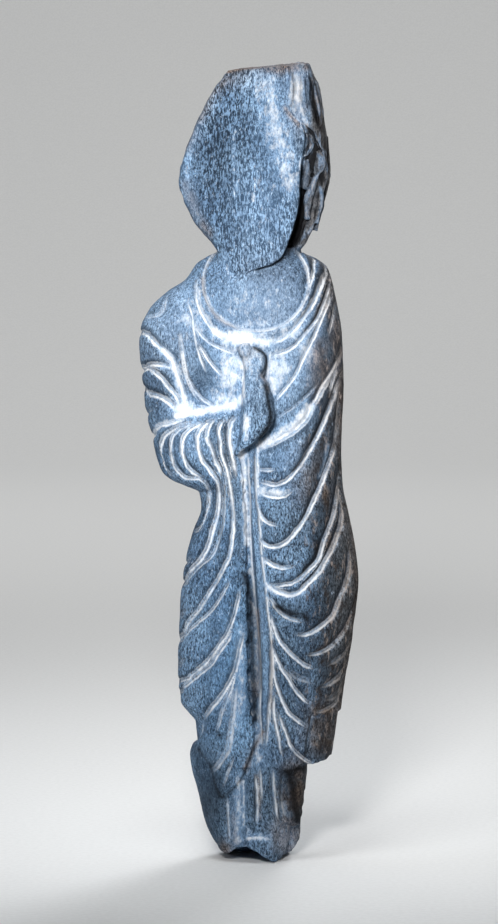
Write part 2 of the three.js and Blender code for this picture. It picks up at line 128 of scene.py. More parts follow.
# The fall of cloth from the wrist, (height, left x, right x), and the rolled hem beside it
FALL_ROWS = [
    (268, -17, -8), (247, -20, -5), (228, -21, -3), (205, -22, -2), (180, -24, -2), (155, -26, -2),
    (128, -28, -2), (112, -29, -0.8), (92, -30, 2.5), (81, -32, 4), (76, -33.5, 2.8), (69, -28.6, 0.8),
    (61, -24.4, -1.8), (54, -23.1, -5.3), (47.5, -20.5, -11.4), (42.3, -18.2, -17),
]
FALL_RISE = 4.5
HEM_ROWS = [
    (266, -0.3, 3.4), (250, 0.2, 3.9), (236, 1, 4.4), (222, 1, 6.2), (199, 2, 7.8), (181, 3.4, 10),
    (163, 4.8, 11.8), (143, 7, 14), (117, 8, 13.9), (100, 7.4, 12.6), (91, 8, 12), (74, 9, 10.5),
]
HEM_RISE = 2.4
# The groove between them: height, x, half width, depth
VALLEY_ROWS = [
    (270, -3, 2.6, 1.6), (250, -2.2, 2.4, 2.4), (225, -0.8, 2, 3), (205, 0.4, 2.2, 4.5), (182, 1.2, 3, 6),
    (155, 1.6, 3.6, 9), (130, 2.4, 4, 8.5), (105, 3.2, 4, 7.5), (84, 5, 2.8, 5), (72, 7, 1.5, 2),
]
# Upper edge of the part that is broken off the far corner of the robe, and its depth
TORN_CORNER = [(36, 60), (38.5, 84), (41, 95.5), (49, 97.5), (58, 100), (75, 99)]
TORN_DEPTH = 1.7
# Ragged lower edge of the robe and the broken underside: (x, height)
HEM_LINE = [
    (-90, 77), (-34, 77), (-31, 73), (6, 75), (10, 75.5), (12.5, 67.5), (15.5, 62), (22, 57), (28, 59),
    (33, 62), (39.5, 63.5), (44, 62), (50, 64.5), (56, 70), (90, 76),
]
TOE_GAP = [
    (-24, 9), (-19, 7), (-16, 4.6), (-13, 5.5), (-10.5, 7.5), (-8, 10), (0, 10.2), (4, 8), (8.5, 4.8),
    (13, 2), (16.5, 0.4), (20, 1.4), (24, 3.5), (28, 7), (32, 11),
]
# The sheared face: a leaning plane, a little domed, that falls away at the near cheek
FACE_Y, FACE_Z = -17, 450
FACE_SLOPE = (-0.12, 0.1)  # to the right and upwards
FACE_DOME = (-2, 448, 0.0016, 0.0005)  # centre x and z, then how strongly it curves along x and z
CHEEK = (-31, -13.5, 425)
CHEEK_NORMAL = (0.8, 0.95, 0.28)
CHEEK_DEEPEST = 12
# Right edge of the flat broken face
FACE_EDGE = [
    (530, 25.5), (495, 26), (489.5, 23.5), (485.5, 28.5), (479, 34), (470, 36), (458, 34.5), (442, 33),
    (429, 32.5), (420, 30.5), (407, 26.5), (396, 21), (390, 16),
]
# Lower part of the broken face, where it stands free in front of the neck: height, left x, right x
CHIN_ROWS = [
    (364, -14, -9), (370, -16.5, -6), (377, -19, -3.5), (382, -20, -1.5), (384, -20.2, 1),
    (385.5, -20.2, 6), (386.8, -20.2, 11), (389.5, -20, 17), (395, -20, 22), (406, -23.5, 26.5),
    (419, -27.8, 30.5), (430, -31, 32),
]
CHIN_BACK = 5
CHIN_SINK = 3.4  # where it runs into the neck
NECK_OPENING = (4.6, 376, 34.2, 31.5)  # centre x and z, then half width and half height
NECK_RECESS = 2.2
NECKLINE_HALF = 1.1  # half width of the pale line round it
# Raised hand: height, left x, right x, front y
HAND_ROWS = [
    (264, -9.5, -6, -40), (267.5, -8.5, -1.9, -43), (270.4, -7.6, 2.5, -44.5), (274, -7, 6.8, -45.5),
    (277.6, -6.2, 10.4, -46), (282, -5.6, 14, -46.3), (285.5, -5.4, 15.8, -46.3), (290.6, -5, 16.9, -46.2),
    (295.7, -4.8, 15.8, -46), (301.5, -4.6, 15.1, -45.4), (307.3, -4.2, 13.4, -44.4),
    (312.3, -3.6, 11, -43.4), (314.8, -3.2, 8.6, -42.8), (317.5, -3.2, 10, -42.4), (324.5, -4, 11.4, -41.6),
    (328, -5, 11, -41), (331.4, -6, 8.6, -40), (334.5, -5.5, 5, -37.5),
]
HAND_BACK = -18

# Folds: depth and half width of the cut, how pale it is, and its line on the front view. A paleness below 0
# puts the bright lip on the uphill side. A line that ends near the outline goes on round the side.
FOLDS = [
    # far side, from the middle hem to the edge
    (1.4, 1.2, 0.8, [(5.5, 255), (10.5, 254), (17, 254.5)]),
    (2.2, 1.4, 0.9, [(56.5, 306), (53.6, 298.4), (50.7, 290.8), (45.2, 277.8), (39.7, 268), (33, 257),
        (28.5, 251.4), (23.9, 247), (17.4, 244.4), (11.7, 245.3), (6.8, 247)]),
    (1.4, 1.5, 1, [(6, 240), (15, 237), (23.5, 237.5), (28, 241)]),
    (1.8, 1.2, 0.9, [(5.3, 234.6), (6.2, 228.1), (9, 222.6), (13.7, 219.3), (19.2, 217.9)]),
    (2.4, 1.4, 1, [(6.2, 212.4), (8, 207.7), (11.7, 205), (16.4, 204.1), (22, 205.9), (27.6, 210.6),
        (35.9, 221.7), (39.7, 229.1), (43.4, 237.4), (46.2, 243.1), (50.7, 255.1)]),
    (1.9, 1.4, 1, [(8.5, 198.4), (11.7, 194.7), (16.4, 191.9), (22, 190.5), (26.7, 191.1), (29.4, 191.9)]),
    (2, 1.3, 0.9, [(10.9, 180.8), (15.5, 178.9), (22, 179.4), (28.5, 180.8), (34.1, 184.6), (40.6, 191.1),
        (45.2, 196.6), (48.9, 208.7), (54.6, 223.6), (57.9, 241.8), (59.5, 250)]),
    (2.4, 1.6, 1, [(10.9, 179.9), (15.5, 177.1), (21.1, 174.3), (27.6, 172.9), (33.2, 175.2), (37.7, 179.9),
        (43.4, 185.5), (48.9, 193.8), (55.4, 206.8), (60.1, 221.7), (60.5, 241), (59.2, 247.7)]),
    (2.4, 1.3, 0.8, [(11.9, 173), (14.6, 169.7), (18.2, 164), (22.9, 159.4), (27.6, 157.1), (35, 155.4)]),
    (2.2, 1.5, 0.9, [(30.4, 147.4), (35, 146.9), (40.6, 148.3), (46.2, 152.1), (51.7, 156.7), (55.4, 161.3),
        (58.2, 168.7), (63.7, 182.7), (66.1, 197.6), (65, 205.4)]),
    (2, 1.4, 0.9, [(14.1, 160.4), (16.4, 151.1), (20.2, 142.7), (24.7, 137.2), (30.4, 131.6), (35.9, 127.4),
        (42.4, 125.1)]),
    (2, 1.3, 0.8, [(37.7, 133.9), (43.4, 134.4), (48.9, 136.7), (53.6, 139.9), (58.2, 144.6), (62.9, 151.1),
        (66.6, 158.6), (68.4, 163.2)]),
    (1.6, 1.4, 0.55, [(49.9, 126.9), (53.6, 128.8), (58.2, 131.6), (62.9, 135.3), (66.6, 140.9)]),
    (2, 1.5, 0.7, [(46.2, 113.1), (51.7, 114.9), (57.2, 118.6), (61, 123.2), (64.7, 129.7)]),
    (1.4, 1.7, 0.45, [(48.9, 104.7), (54.5, 106.6), (59.2, 110.2), (63.7, 115.8)]),
    (1.4, 1.2, 0.6, [(40.6, 97.7), (46.2, 97.2), (51.7, 99.1), (57.2, 103.7), (60.1, 107.4)]),
    (1.8, 1.3, 0.9, [(14.1, 141.8), (15, 132.6), (16.4, 119.6), (19.2, 110.2), (22, 103.7), (25.7, 96.3),
        (31.2, 91.7), (37.7, 87.1)]),
    (2, 1.3, 0.9, [(14.1, 142.7), (16.4, 134.4), (21.1, 125.1), (25.7, 118.6), (29.4, 112.1), (35, 105.6),
        (39.7, 101.9)]),
    (1.8, 1.2, 0.9, [(16.4, 108.4), (16, 99.1), (16.9, 91.7), (18.8, 82.4), (20.2, 74.1), (22, 67.6)]),
    (2, 1.2, 0.9, [(19.2, 97.2), (21.1, 90.7), (23.9, 83.3), (26.7, 75.9), (30.4, 70.3), (35, 66.6),
        (39.7, 63.8), (44, 62.4)]),
    (0.7, 1.8, 0.25, [(24.7, 125), (31.2, 119.6), (42.4, 115.7)]),
    # chest, from the far shoulder towards the hand
    (1.2, 1.2, 0.85, [(42.4, 390.2), (42, 384.6), (40.6, 378.1), (39.2, 373.5), (38.3, 368.8)]),
    (1.4, 1.7, 0.8, [(49.9, 381.8), (46.2, 373.5), (43.4, 366), (39.7, 359.5), (35, 353), (28.6, 345.2),
        (22, 340), (14, 337)]),
    (2, 1.2, 0.8, [(52.2, 373.5), (49.9, 366), (47.1, 358.6), (44.2, 352.1), (39.7, 346.5), (35, 341),
        (30.4, 335.4), (24.7, 331.7), (18.2, 329.4), (12.7, 327.6)]),
    (1.3, 1.1, 0.9, [(51.7, 363.3), (46.2, 350.3), (42.4, 341), (38.7, 333.5), (35, 326.1), (32.2, 319.6),
        (28.5, 313.1), (23.9, 307.5), (16.4, 298.4)]),
    (1, 0.9, 0.8, [(56.4, 360.5), (54.5, 353), (52.7, 346.5), (51.7, 341)]),
    (1.4, 1, 0.8, [(58.7, 326.1), (57.2, 320.5), (55.4, 315), (53.6, 309.4), (52.2, 302.9)]),
    (1.2, 1, 0.25, [(45, 311.5), (41, 306), (35.9, 301), (29.4, 295.5), (23.9, 291.8), (17.4, 287.1)]),
    (1.8, 1.7, -1, [(49.9, 310.3), (47.1, 305.7), (44.2, 300.1), (40.6, 294.5), (38.7, 289), (34.1, 283.4),
        (28.5, 278.9), (22, 275), (14.6, 271.3), (6.2, 267.6)]),
    (1.2, 1, 0.5, [(58.2, 302.9), (59.2, 289.3), (57.2, 275)]),
    (1.2, 1, 0.5, [(52, 262), (55.5, 272), (57, 284)]),
    # chest and upper arm on the near side
    (1.3, 1.3, 0.85, [(-33.6, 379.5), (-34.5, 372), (-33.6, 363.7), (-30.8, 356.3), (-26.7, 349.8),
        (-22.1, 344.2), (-14, 337)]),
    (1.2, 1, 0.8, [(-40.1, 364.7), (-37.3, 355.4), (-36.4, 347.9), (-35.9, 344.2), (-34.1, 334.9),
        (-31.3, 325.7), (-27.6, 317.3)]),
    (1, 1, 0.7, [(-35.1, 348.9), (-31.3, 342.4), (-26.7, 337.7), (-20.2, 334.1), (-12.7, 331.2),
        (-7.2, 327.6)]),
    (1.1, 1, 0.8, [(-34.1, 338.7), (-30.4, 332.2), (-25.7, 324.7), (-20.2, 318.2), (-16.4, 313.6)]),
    (1.5, 1.1, 0.7, [(-44.3, 344.2), (-43.4, 334.9), (-42, 325.7), (-40.1, 316.4), (-36.9, 309),
        (-32.2, 302.4), (-26.7, 297.8), (-20.2, 295.1)]),
    (1, 1, 0.6, [(-45.2, 344.5), (-44.3, 331.5), (-42.4, 319.2), (-40.1, 312), (-35.9, 304.2),
        (-31.3, 297.8)]),
    (0.8, 1.2, 0.4, [(-53, 369), (-54.5, 363), (-56.5, 357)]),
    (2, 1.7, 1, [(-64.7, 340.6), (-59.2, 334.9), (-53.6, 330.3), (-49.9, 325.7), (-48.1, 319.2),
        (-45.2, 311.7), (-42.4, 303.4), (-39.7, 297.8)]),
    (1.6, 1.5, 1, [(-68, 321.5), (-61.9, 322.9), (-57.3, 322.4), (-50.8, 321.5)]),
    (1.6, 1.5, 1, [(-61.9, 318.2), (-57.3, 314.6), (-52.7, 308.9), (-48.9, 304.3), (-45.2, 298.7),
        (-43.4, 295.9)]),
    (2, 1.7, 1, [(-68, 304.5), (-61.1, 302.9), (-55.4, 300.6), (-50.8, 296.9), (-46, 291.5)]),
    (1.6, 1.6, 0.9, [(-62.9, 279.2), (-58.2, 282.9), (-53.6, 283.9), (-48.1, 285.7), (-40, 288)]),
    (1.2, 1, 0.4, [(-61, 293.5), (-65, 293), (-68, 292.5)]),
    # sleeve round the forearm, running on below the elbow
    (1.6, 1.4, 0.9, [(-35, 285.7), (-44.3, 282.9), (-51.7, 279.2), (-56.4, 273.7), (-58, 267),
        (-57.3, 260.7), (-54.5, 254), (-49, 250.5)]),
    (1.6, 1.2, 0.75, [(-35.1, 284.8), (-42.4, 282.5), (-47.1, 279.2), (-49.9, 275.6), (-50.8, 269.9),
        (-50.3, 263.4), (-48.9, 257.9), (-45.2, 252.3), (-40, 248.8), (-32, 248.3), (-27.5, 244), (-26, 238),
        (-26.7, 230.8), (-31.9, 217.8)]),
    (1.8, 1.3, 1, [(-28.6, 285.7), (-35.9, 282.1), (-41.6, 277.4), (-43.4, 270.9), (-42.9, 263.4),
        (-40.1, 256.9), (-35.9, 252.3), (-29, 248.5)]),
    (2, 1.4, 1, [(-22.1, 287.6), (-28.6, 283.9), (-32.7, 279.2), (-33.6, 273.7), (-32.7, 267.2),
        (-30.4, 260.7), (-25.7, 254.2), (-21, 247.5), (-19.6, 241), (-19.5, 234.7), (-20.2, 228),
        (-22.8, 217.8), (-26.7, 204.8), (-31.9, 195.7), (-39.7, 187.9), (-43, 184)]),
    (1.6, 1.5, 0.9, [(-21, 288.5), (-25.5, 284), (-27.2, 279), (-27.6, 275.6), (-25.7, 270.9),
        (-23.9, 266.2), (-22.1, 260.7), (-19.2, 255.1), (-16.9, 248.6)]),
    (1, 1, 0.5, [(-16.9, 248.6), (-15.8, 240), (-15.8, 232), (-16.3, 226), (-16.9, 219), (-21.5, 203.5),
        (-25.4, 197), (-31.9, 191.8), (-40.3, 182.7)]),
    (2, 1.3, 1, [(-14.6, 287.6), (-18.3, 284.8), (-19.7, 280), (-18.9, 273.7), (-18.3, 267.2),
        (-16.4, 260.7), (-14.6, 256), (-13, 247.7), (-11.7, 239.9), (-10.4, 229.5), (-10, 219), (-11, 208.7),
        (-12.4, 199.6), (-15, 193), (-18.9, 185.3), (-25.4, 175), (-31.9, 164.5), (-38.4, 156.7),
        (-43.6, 149)]),
    (1.7, 1.7, 1, [(-8.1, 289.4), (-11.8, 284.8), (-12.7, 279.2), (-12.7, 273.7), (-11.8, 267.2),
        (-10.9, 262), (-8, 248)]),
    # near leg
    (1, 1, 0.8, [(-12.4, 182.7), (-16.3, 174.9), (-22.8, 164.5), (-29.3, 158), (-37.1, 151.5), (-42.3, 146)]),
    (1.8, 1.2, 1, [(-5.9, 177.5), (-7.2, 169.7), (-9.8, 159.3), (-13.7, 148.9), (-18.9, 141.1), (-25.4, 132),
        (-31.9, 125.5), (-38.4, 120.3)]),
    (1.6, 1.2, 0.9, [(-11, 150.2), (-13.7, 143.7), (-20.2, 134.6), (-24, 128.1), (-31.9, 121.6),
        (-38.4, 116.4), (-43.6, 112.5)]),
    (2, 1.4, 1, [(-3.9, 147.6), (-5.9, 138.5), (-8.5, 125.5), (-12.4, 116.4), (-18.9, 106), (-25.4, 98.2),
        (-29.9, 91.7)]),
    (1.4, 1.1, 0.8, [(-8.5, 122.9), (-12.4, 109.9), (-16.3, 100.8), (-18.9, 91.7), (-21.5, 83.9)]),
    (1.4, 1.8, 0.55, [(-8.4, 114.4), (-11, 90.3), (-13, 75), (-17.5, 65.8), (-24, 57.8)]),
    (1, 0.9, 0.6, [(-9.5, 68), (-13.5, 58), (-17, 47.5)]),
    (1.8, 1.3, 0.5, [(-36, 198), (-41, 196.3)]),
    (1.8, 1.3, 0.5, [(-39.5, 163.5), (-44, 162)]),
    (1.8, 1.3, 0.5, [(-40, 132), (-45, 130)]),
]
# Pleats of the under robe, written in the same way
PLEATS = [
    (1.6, 1.2, 0.8, [(3.9, 57), (5.2, 46), (5.5, 35), (5, 23.5)]),
    (1.1, 1, 0.6, [(7.2, 61), (8, 48), (8.3, 37.7)]),
    (1.6, 1.2, 0.75, [(15.3, 60.5), (16.3, 46), (17.6, 35), (18.9, 24.7)]),
    (1.4, 1.1, 0.7, [(20.2, 46), (21.8, 35), (24.5, 25.4)]),
    (1, 1, 0.5, [(-14, 42), (-13.6, 28), (-12.5, 12)]),
]
# Thin lines along both edges of the rolled hem
for side, shift in ((1, -0.4), (2, 0.4)):
    FOLDS.append((0.5, 0.9, 0.75, [(row[side] + shift, row[0]) for row in HEM_ROWS]))
FOLD_SHOULDER = 0.8  # how far the cloth sinks towards a cut on both sides
SHOULDER_WIDTH = 3  # in half widths of the cut
FOLD_REACH = 2.2  # in shoulder widths, beyond which a cut does nothing
FOLD_TAPER = 9  # length over which a cut runs out
CURVE_STEP = 2.5  # between points on the smooth line of a fold or stroke
LIP_PLACE, LIP_RISE = 2.3, 0.16  # half widths downhill of a cut, and share of its depth
DOWNHILL = (0.2, -0.98)  # the way down on the front view, a little towards the far side, and the side of a cut that the light falls on
NEAR_OUTLINE = 0.78  # a fold that ends beyond this share of the half width goes on round the side
RUN_ROUND = 27  # how far it goes on
LOWEST_RUN = 95  # no fold below this height does
SIDE_SHARE = 0.93  # of the half width, beyond which the cloth is laid flat as it runs round the side
SIDE_SLOPE = 1.3  # depth passed for each millimetre of cloth there
OFF_MAP = 1e4  # an x that no table reaches
LINE_EDGE = 2.4  # half widths from a cut where its pale line ends at the latest
LINE_REACH = 3.5  # and where the darker stone above it does

# Lower edge of the broken hair beside the face: x and height
HAIR_EDGE = [
    (20, 490), (23, 489.5), (29.9, 481.3), (35.6, 478), (41.3, 473.2), (44.1, 466.7), (46.2, 461.8),
    (56, 456),
]
HAIR_FRONT = -14.5  # y of the broken hair, and of the bed that the ear lies in
EAR_BED = -5.5
DEEPEST_BREAK = 14
# Deep cracks in the hair, written as the folds are
HAIR_CRACKS = [
    (5, 1.0, 1, [(39.5, 515), (40.4, 504), (40.6, 495), (43, 487), (45, 475)]),
    (4, 0.8, 1, [(43.5, 505), (44.5, 498), (47, 489)]),
    (1.6, 0.8, 1, [(28.5, 512), (29.5, 500), (28.8, 491)]),
    (1.2, 0.6, 1, [(33, 513), (33.4, 503), (34.4, 490), (38, 478)]),
    (1.3, 0.6, 1, [(36.6, 512), (37, 500), (38.6, 489)]),
    (2.2, 0.9, 1, [(26, 499), (29.5, 493), (31.5, 483)]),
]
# Wavy hair, the ear and its long lobes: points on each, then its radius
STRANDS = [
    ([(29, -12, 485), (34, -11, 478.8), (41.3, -9.5, 473.2), (44.1, -8.5, 466.7), (46.5, -7, 460)], 1.3),
    ([(30, -10, 481), (33.8, -9.5, 476.6), (38, -9, 473), (40.6, -8.5, 468), (40, -8, 462.5),
        (37, -8, 458.5), (33.5, -8, 455.5), (33.8, -7.5, 450)], 1.05),
    ([(31, -9, 478), (33.8, -8.5, 473.5), (36.4, -8, 469), (36.8, -7.5, 464.5), (35, -7.5, 460.5),
        (32.5, -7, 457.5)], 1.0),
    ([(45.8, -7, 461), (46.2, -8, 455), (44.6, -8, 449.5), (43, -7, 446)], 3.7),
    ([(43.8, -8, 446), (41, -9, 438), (38.4, -9, 430), (38, -9, 424), (37.6, -8, 417)], 2.5),
    ([(46, -4, 439), (46.4, -4, 431), (45.2, -4, 423), (43.4, -4, 414)], 2.3),
    ([(42, -5, 417), (38.6, -4, 409.5), (35.6, -3, 403), (33, -3, 398.5)], 2),
    ([(36.6, -8, 455), (37.6, -8, 448), (36.6, -7.5, 441), (35.4, -7, 437)], 2.6),
    ([(50, 1, 451), (50.6, 0, 445), (48.4, -1, 441)], 1.9),
    ([(49, 6, 470), (50, 5, 455), (49, 4, 440), (46, 4, 425), (42, 3, 410)], 3),
]
KNOB = [(-3, -38, 336), (-3, -39, 332.5), (-2.2, -39.4, 328)]  # stump of the thumb
KNOB_RADIUS = 4.4

# Soft patches on the front: x, z, half width, half height, strength
PALE_PATCHES = [
    (-42, 294, 10, 7, 0.95), (-12, 318, 13, 20, 0.7), (18, 318, 15, 22, 0.66), (-5, 340, 18, 7, 1),
    (-3, 333, 3.6, 4, 0.55), (8, 241, 6, 4, 0.95), (18, 240, 9, 3.2, 0.85), (6, 68, 6, 9, 0.5),
    (25, 17, 6, 9, 0.5), (4, 362, 28, 17, 0.5), (-35, 275, 16, 14, 0.3), (0, 334, 36, 38, 0.5),
    (37, 331, 7, 13, 0.62), (-36, 352, 18, 24, 0.48), (30, 345, 16, 10, 0.6), (31, 500, 6, 15, 0.9),
    (-4, 264, 4, 4, 1), (14, 395, 8, 6, 0.2), (-50, 352, 16, 20, 0.3), (20, 262, 16, 8, 0.25),
    (-16, 300, 14, 7, 0.72), (-9, 230, 6, 30, 0.2), (-1.8, 284, 3.6, 10, 0.85), (30, 318, 14, 14, 0.4),
    (-18, 138, 13, 42, 0.26), (8, 425, 19, 38, 0.34), (-14, 102, 10, 16, 0.42),
]
RUST_PATCHES = [
    (46, 322, 7, 16, 0.85), (44, 330, 2.5, 8, 0.9), (48, 77, 8, 3.5, 1), (50, 98, 8, 3, 1),
    (50, 86, 14, 18, 0.42), (50, 238, 2.5, 8, 0.8), (52.5, 206, 2.5, 8, 0.8), (30, 44, 8, 20, 0.9),
    (26, 18, 9, 12, 1), (-15, 8, 5, 5, 0.6), (33, 495, 7, 26, 0.35), (46, 490, 5, 26, 0.5),
    (-2.6, 332, 4, 5, 0.5), (4.4, 112, 2, 6, 1), (40, 250, 12, 24, 0.3), (56, 380, 8, 30, 0.5),
]
DARK_PATCHES = [
    (-16, 455, 17, 32, 0.55), (-22, 466, 8, 15, 0.45), (12.5, 489.5, 2.2, 3, 1), (-29, 316, 8, 14, 0.6),
    (50, 84, 12, 17, 0.95), (28, 105, 5, 2.5, 0.8), (30, 130, 30, 50, 0.52), (32, 218, 22, 22, 0.5),
    (8, 40, 17, 28, 0.6), (36, 95, 16, 20, 0.5), (36, 242, 10, 12, 0.5), (31, 15, 3, 5, 0.8),
    (33, 50, 6, 15, 1), (-58, 300, 8, 30, 0.3), (-34, 478, 7, 24, 0.3), (4, 300, 7, 26, 0.4),
    (-24, 40, 13, 34, 0.95), (34, 300, 10, 18, 0.3), (46, 495, 7, 26, 1), (-10, 408, 20, 14, 0.22),
    (52, 345, 8, 30, 0.5),
]
# Where the flecks are weak. These patches and the next two kinds hold behind as well.
CALM_PATCHES = [
    (-30, 42, 12, 36, 0.55), (-7, 120, 5, 40, 0.5), (-5, 32, 4, 26, 0.5), (4, 362, 28, 17, 0.3),
    (-38, 430, 5, 34, 0.3), (18, 480, 12, 34, 0.3), (9, 150, 4, 90, 0.3), (8, 330, 60, 50, 0.15),
]
# Where the stone is greyer than elsewhere, and where it is bluer
MUTED_PATCHES = [(14, 350, 26, 46, 0.45), (-50, 342, 20, 40, 0.25), (-4, 510, 26, 9, 0.5)]
BLUE_PATCHES = [(-10, 128, 18, 56, 0.3)]
# Soft strokes on the front: strength, half width, points
PALE_STROKES = [
    (0.95, 3.8, [(-46, 289.5), (-38, 291), (-28, 292.5), (-18, 294.5), (-8, 297), (-5.5, 300)]),
    (0.95, 2.8, [(-56, 332), (-52, 328), (-49, 322), (-46.5, 313), (-43.5, 305), (-41, 297), (-40, 290)]),
    (0.8, 1.8, [(-57, 322), (-50, 320)]),
    (0.7, 2.2, [(-60, 283), (-48, 286)]),
    (0.95, 3.6, [(-23, 345), (-16, 341.5), (-6, 339), (4, 338.5), (12, 337)]),
    (0.6, 2, [(-33, 372), (-31.5, 362), (-28, 354), (-24, 347)]),
    (0.65, 3, [(12, 338), (20, 339), (27, 344)]),
    (0.85, 1.3, [(13.5, 330), (14, 322), (15.5, 312), (17.5, 302)]),
    (0.82, 4.2, [(8, 270), (16, 274.5), (24, 279.5), (32, 286), (39, 295)]),
    (0.95, 2.6, [(-3.5, 262), (-3.4, 250), (-2.6, 236), (-2, 222), (-1, 206)]),
    (0.9, 1.4, [(5.7, 268), (5.8, 256), (5.6, 246), (6, 240)]),
    (0.85, 2, [(11, 180), (16, 176), (22, 173.5), (28, 172.5), (34, 175)]),
    (0.75, 2.2, [(-1.8, 289), (-1.5, 280), (-1.8, 273)]),
    (0.25, 3.5, [(3, 260), (4, 222), (6.5, 181), (10, 143), (10.5, 117), (10, 91)]),
    (0.5, 5, [(-5, 150), (-5.5, 130), (-5, 112), (-6, 100), (-10, 88)]),
    (0.4, 3, [(-8, 90), (-12, 78), (-19, 66)]),
    (0.52, 4.2, [(-6.6, 54), (-7, 36), (-7, 24), (-8, 13)]),
    (0.62, 1, [(-3.4, 52), (-3.4, 36), (-3.2, 22)]),
    (0.8, 2, [(-1, 15), (6, 15.3), (13, 14)]),
    (0.57, 11, [(12, 504), (13, 500), (15, 487), (19, 470), (23, 455), (27, 440)]),
    (0.62, 2, [(4, 512), (5, 498), (8, 480)]),
    (0.66, 2, [(14, 510), (16, 496), (18, 486)]),
    (0.52, 5, [(19, 478), (21, 466), (23, 450)]),
    (0.55, 1.2, [(-9, 476), (-10, 462), (-9, 448)]),
    (0.6, 1, [(3, 452), (4, 440), (3, 428)]),
    # Painted light on the hand's left wall
    (0.9, 1.5, [(-3.8, 328), (-3.5, 313), (-3.6, 300)]),
    (0.8, 1.2, [(0.8, 168), (2.4, 165.5), (3.8, 162)]),
    (0.7, 1, [(4.4, 118), (5.2, 114), (5.6, 110)]),
    (0.36, 3.4, [(-33, 478), (-38, 462), (-41, 440), (-34, 420)]),
    (0.72, 2, [(31, 511), (32, 500), (34, 488), (38, 476)]),
    (0.62, 0.7, [(-6, 443), (-9.5, 437), (-9.5, 430)]),
    (0.5, 2.6, [(-16, 392), (-14, 384), (-11, 377)]),
    (0.66, 0.9, [(22, 378.6), (19.2, 373.5), (15.5, 370)]),
    (0.6, 1.4, [(46, 250), (50, 261), (51, 270)]),
    # Painted highlights along the crests of the hair strands and the ear
    (0.8, 0.75, [(39.7, 512.9), (41.6, 503.8), (44.9, 493.4), (45.5, 484.3)]),
    (0.75, 0.7, [(43.6, 506), (47.5, 492), (49.4, 483)]),
    (0.85, 0.8, [(31.9, 481.7), (39.7, 475.2), (45.5, 466), (49.4, 459.6)]),
    (0.75, 0.75, [(33.8, 477.8), (38.4, 470), (39.7, 464.8), (37, 459.6), (33.8, 456.3), (33.2, 449)]),
    (0.7, 0.7, [(40.3, 467.4), (41.6, 462.2), (38.4, 456.3), (39.7, 453)]),
    (0.7, 0.9, [(44.9, 458.3), (48.8, 454.4), (48, 449), (43.6, 444), (39.7, 436), (36.4, 428.4)]),
    (0.65, 0.8, [(46.2, 437.5), (47.5, 428.4), (45.5, 419.3), (42.3, 412.8), (39, 408)]),
    (0.55, 0.8, [(37, 425), (36.8, 418)]),
]
RUST_STROKES = [
    (0.95, 1.2, [(8, 316), (10.5, 312), (12.5, 306)]),
    (0.95, 1.1, [(5.4, 163), (5.8, 150), (6.2, 130), (5.6, 116)]),
    (0.9, 1.3, [(9, 84), (5, 76), (1, 68), (-2, 60)]),
    (0.6, 0.9, [(14.5, 143), (15, 120), (14.2, 100)]),
    (0.95, 1.6, [(23.5, 489), (28, 483), (33, 478)]),
    (0.8, 0.9, [(44, 136), (52, 141.5), (60, 149.5), (66, 160)]),
    (0.6, 4, [(57, 350), (58, 330), (60, 300), (60, 270)]),
    (0.6, 3, [(65, 240), (70, 200), (71, 170), (66, 130), (60, 100)]),
    (0.5, 1.5, [(-9.5, 30), (-9, 12)]),
    (0.5, 1.2, [(-30, 379), (-29, 368), (-26, 360), (-20, 352.5), (-10, 346.6)]),
    (0.7, 1, [(51, 374), (47, 362), (42, 352)]),
    (1, 1.3, [(-14, 513), (0, 515.8), (16, 516.6), (36, 518)]),
    (0.95, 3, [(12, 514), (24, 515), (36, 516)]),
    (0.4, 4, [(-40, 465), (-33, 482), (-24, 498), (-14, 509)]),
    (0.4, 3, [(-41, 440), (-34, 420), (-26, 407)]),
    (0.5, 1, [(5.6, 55), (6.4, 40), (6.6, 28)]),
]
DARK_STROKES = [
    (0.55, 2, [(-10, 512.5), (4, 515), (20, 516), (36, 517)]),
    (0.75, 2, [(31, 473), (33, 458), (31.5, 440), (31, 425)]),
    # Painted shade down the far edge, on the side away from the light
    (0.95, 7, [(58, 365), (61, 340), (62, 310), (61, 280), (63, 250), (68, 215), (71, 185), (70, 160),
        (66, 130), (60, 100)]),
    (0.7, 6, [(-33, 72), (-31, 55), (-27, 40), (-21, 25), (-17, 10)]),
    (0.65, 2.4, [(0, 60), (0.5, 45), (1, 30), (3, 20)]),
    (0.65, 2.6, [(11.5, 58), (12, 42), (13.5, 26)]),
    (0.6, 4, [(-23, 282), (-22, 270), (-17, 260)]),
    (0.85, 2.4, [(-16, 284), (-15.5, 272), (-14, 262)]),
    (0.6, 3.6, [(-13, 262), (-9, 245), (-7, 222), (-6, 200)]),
]
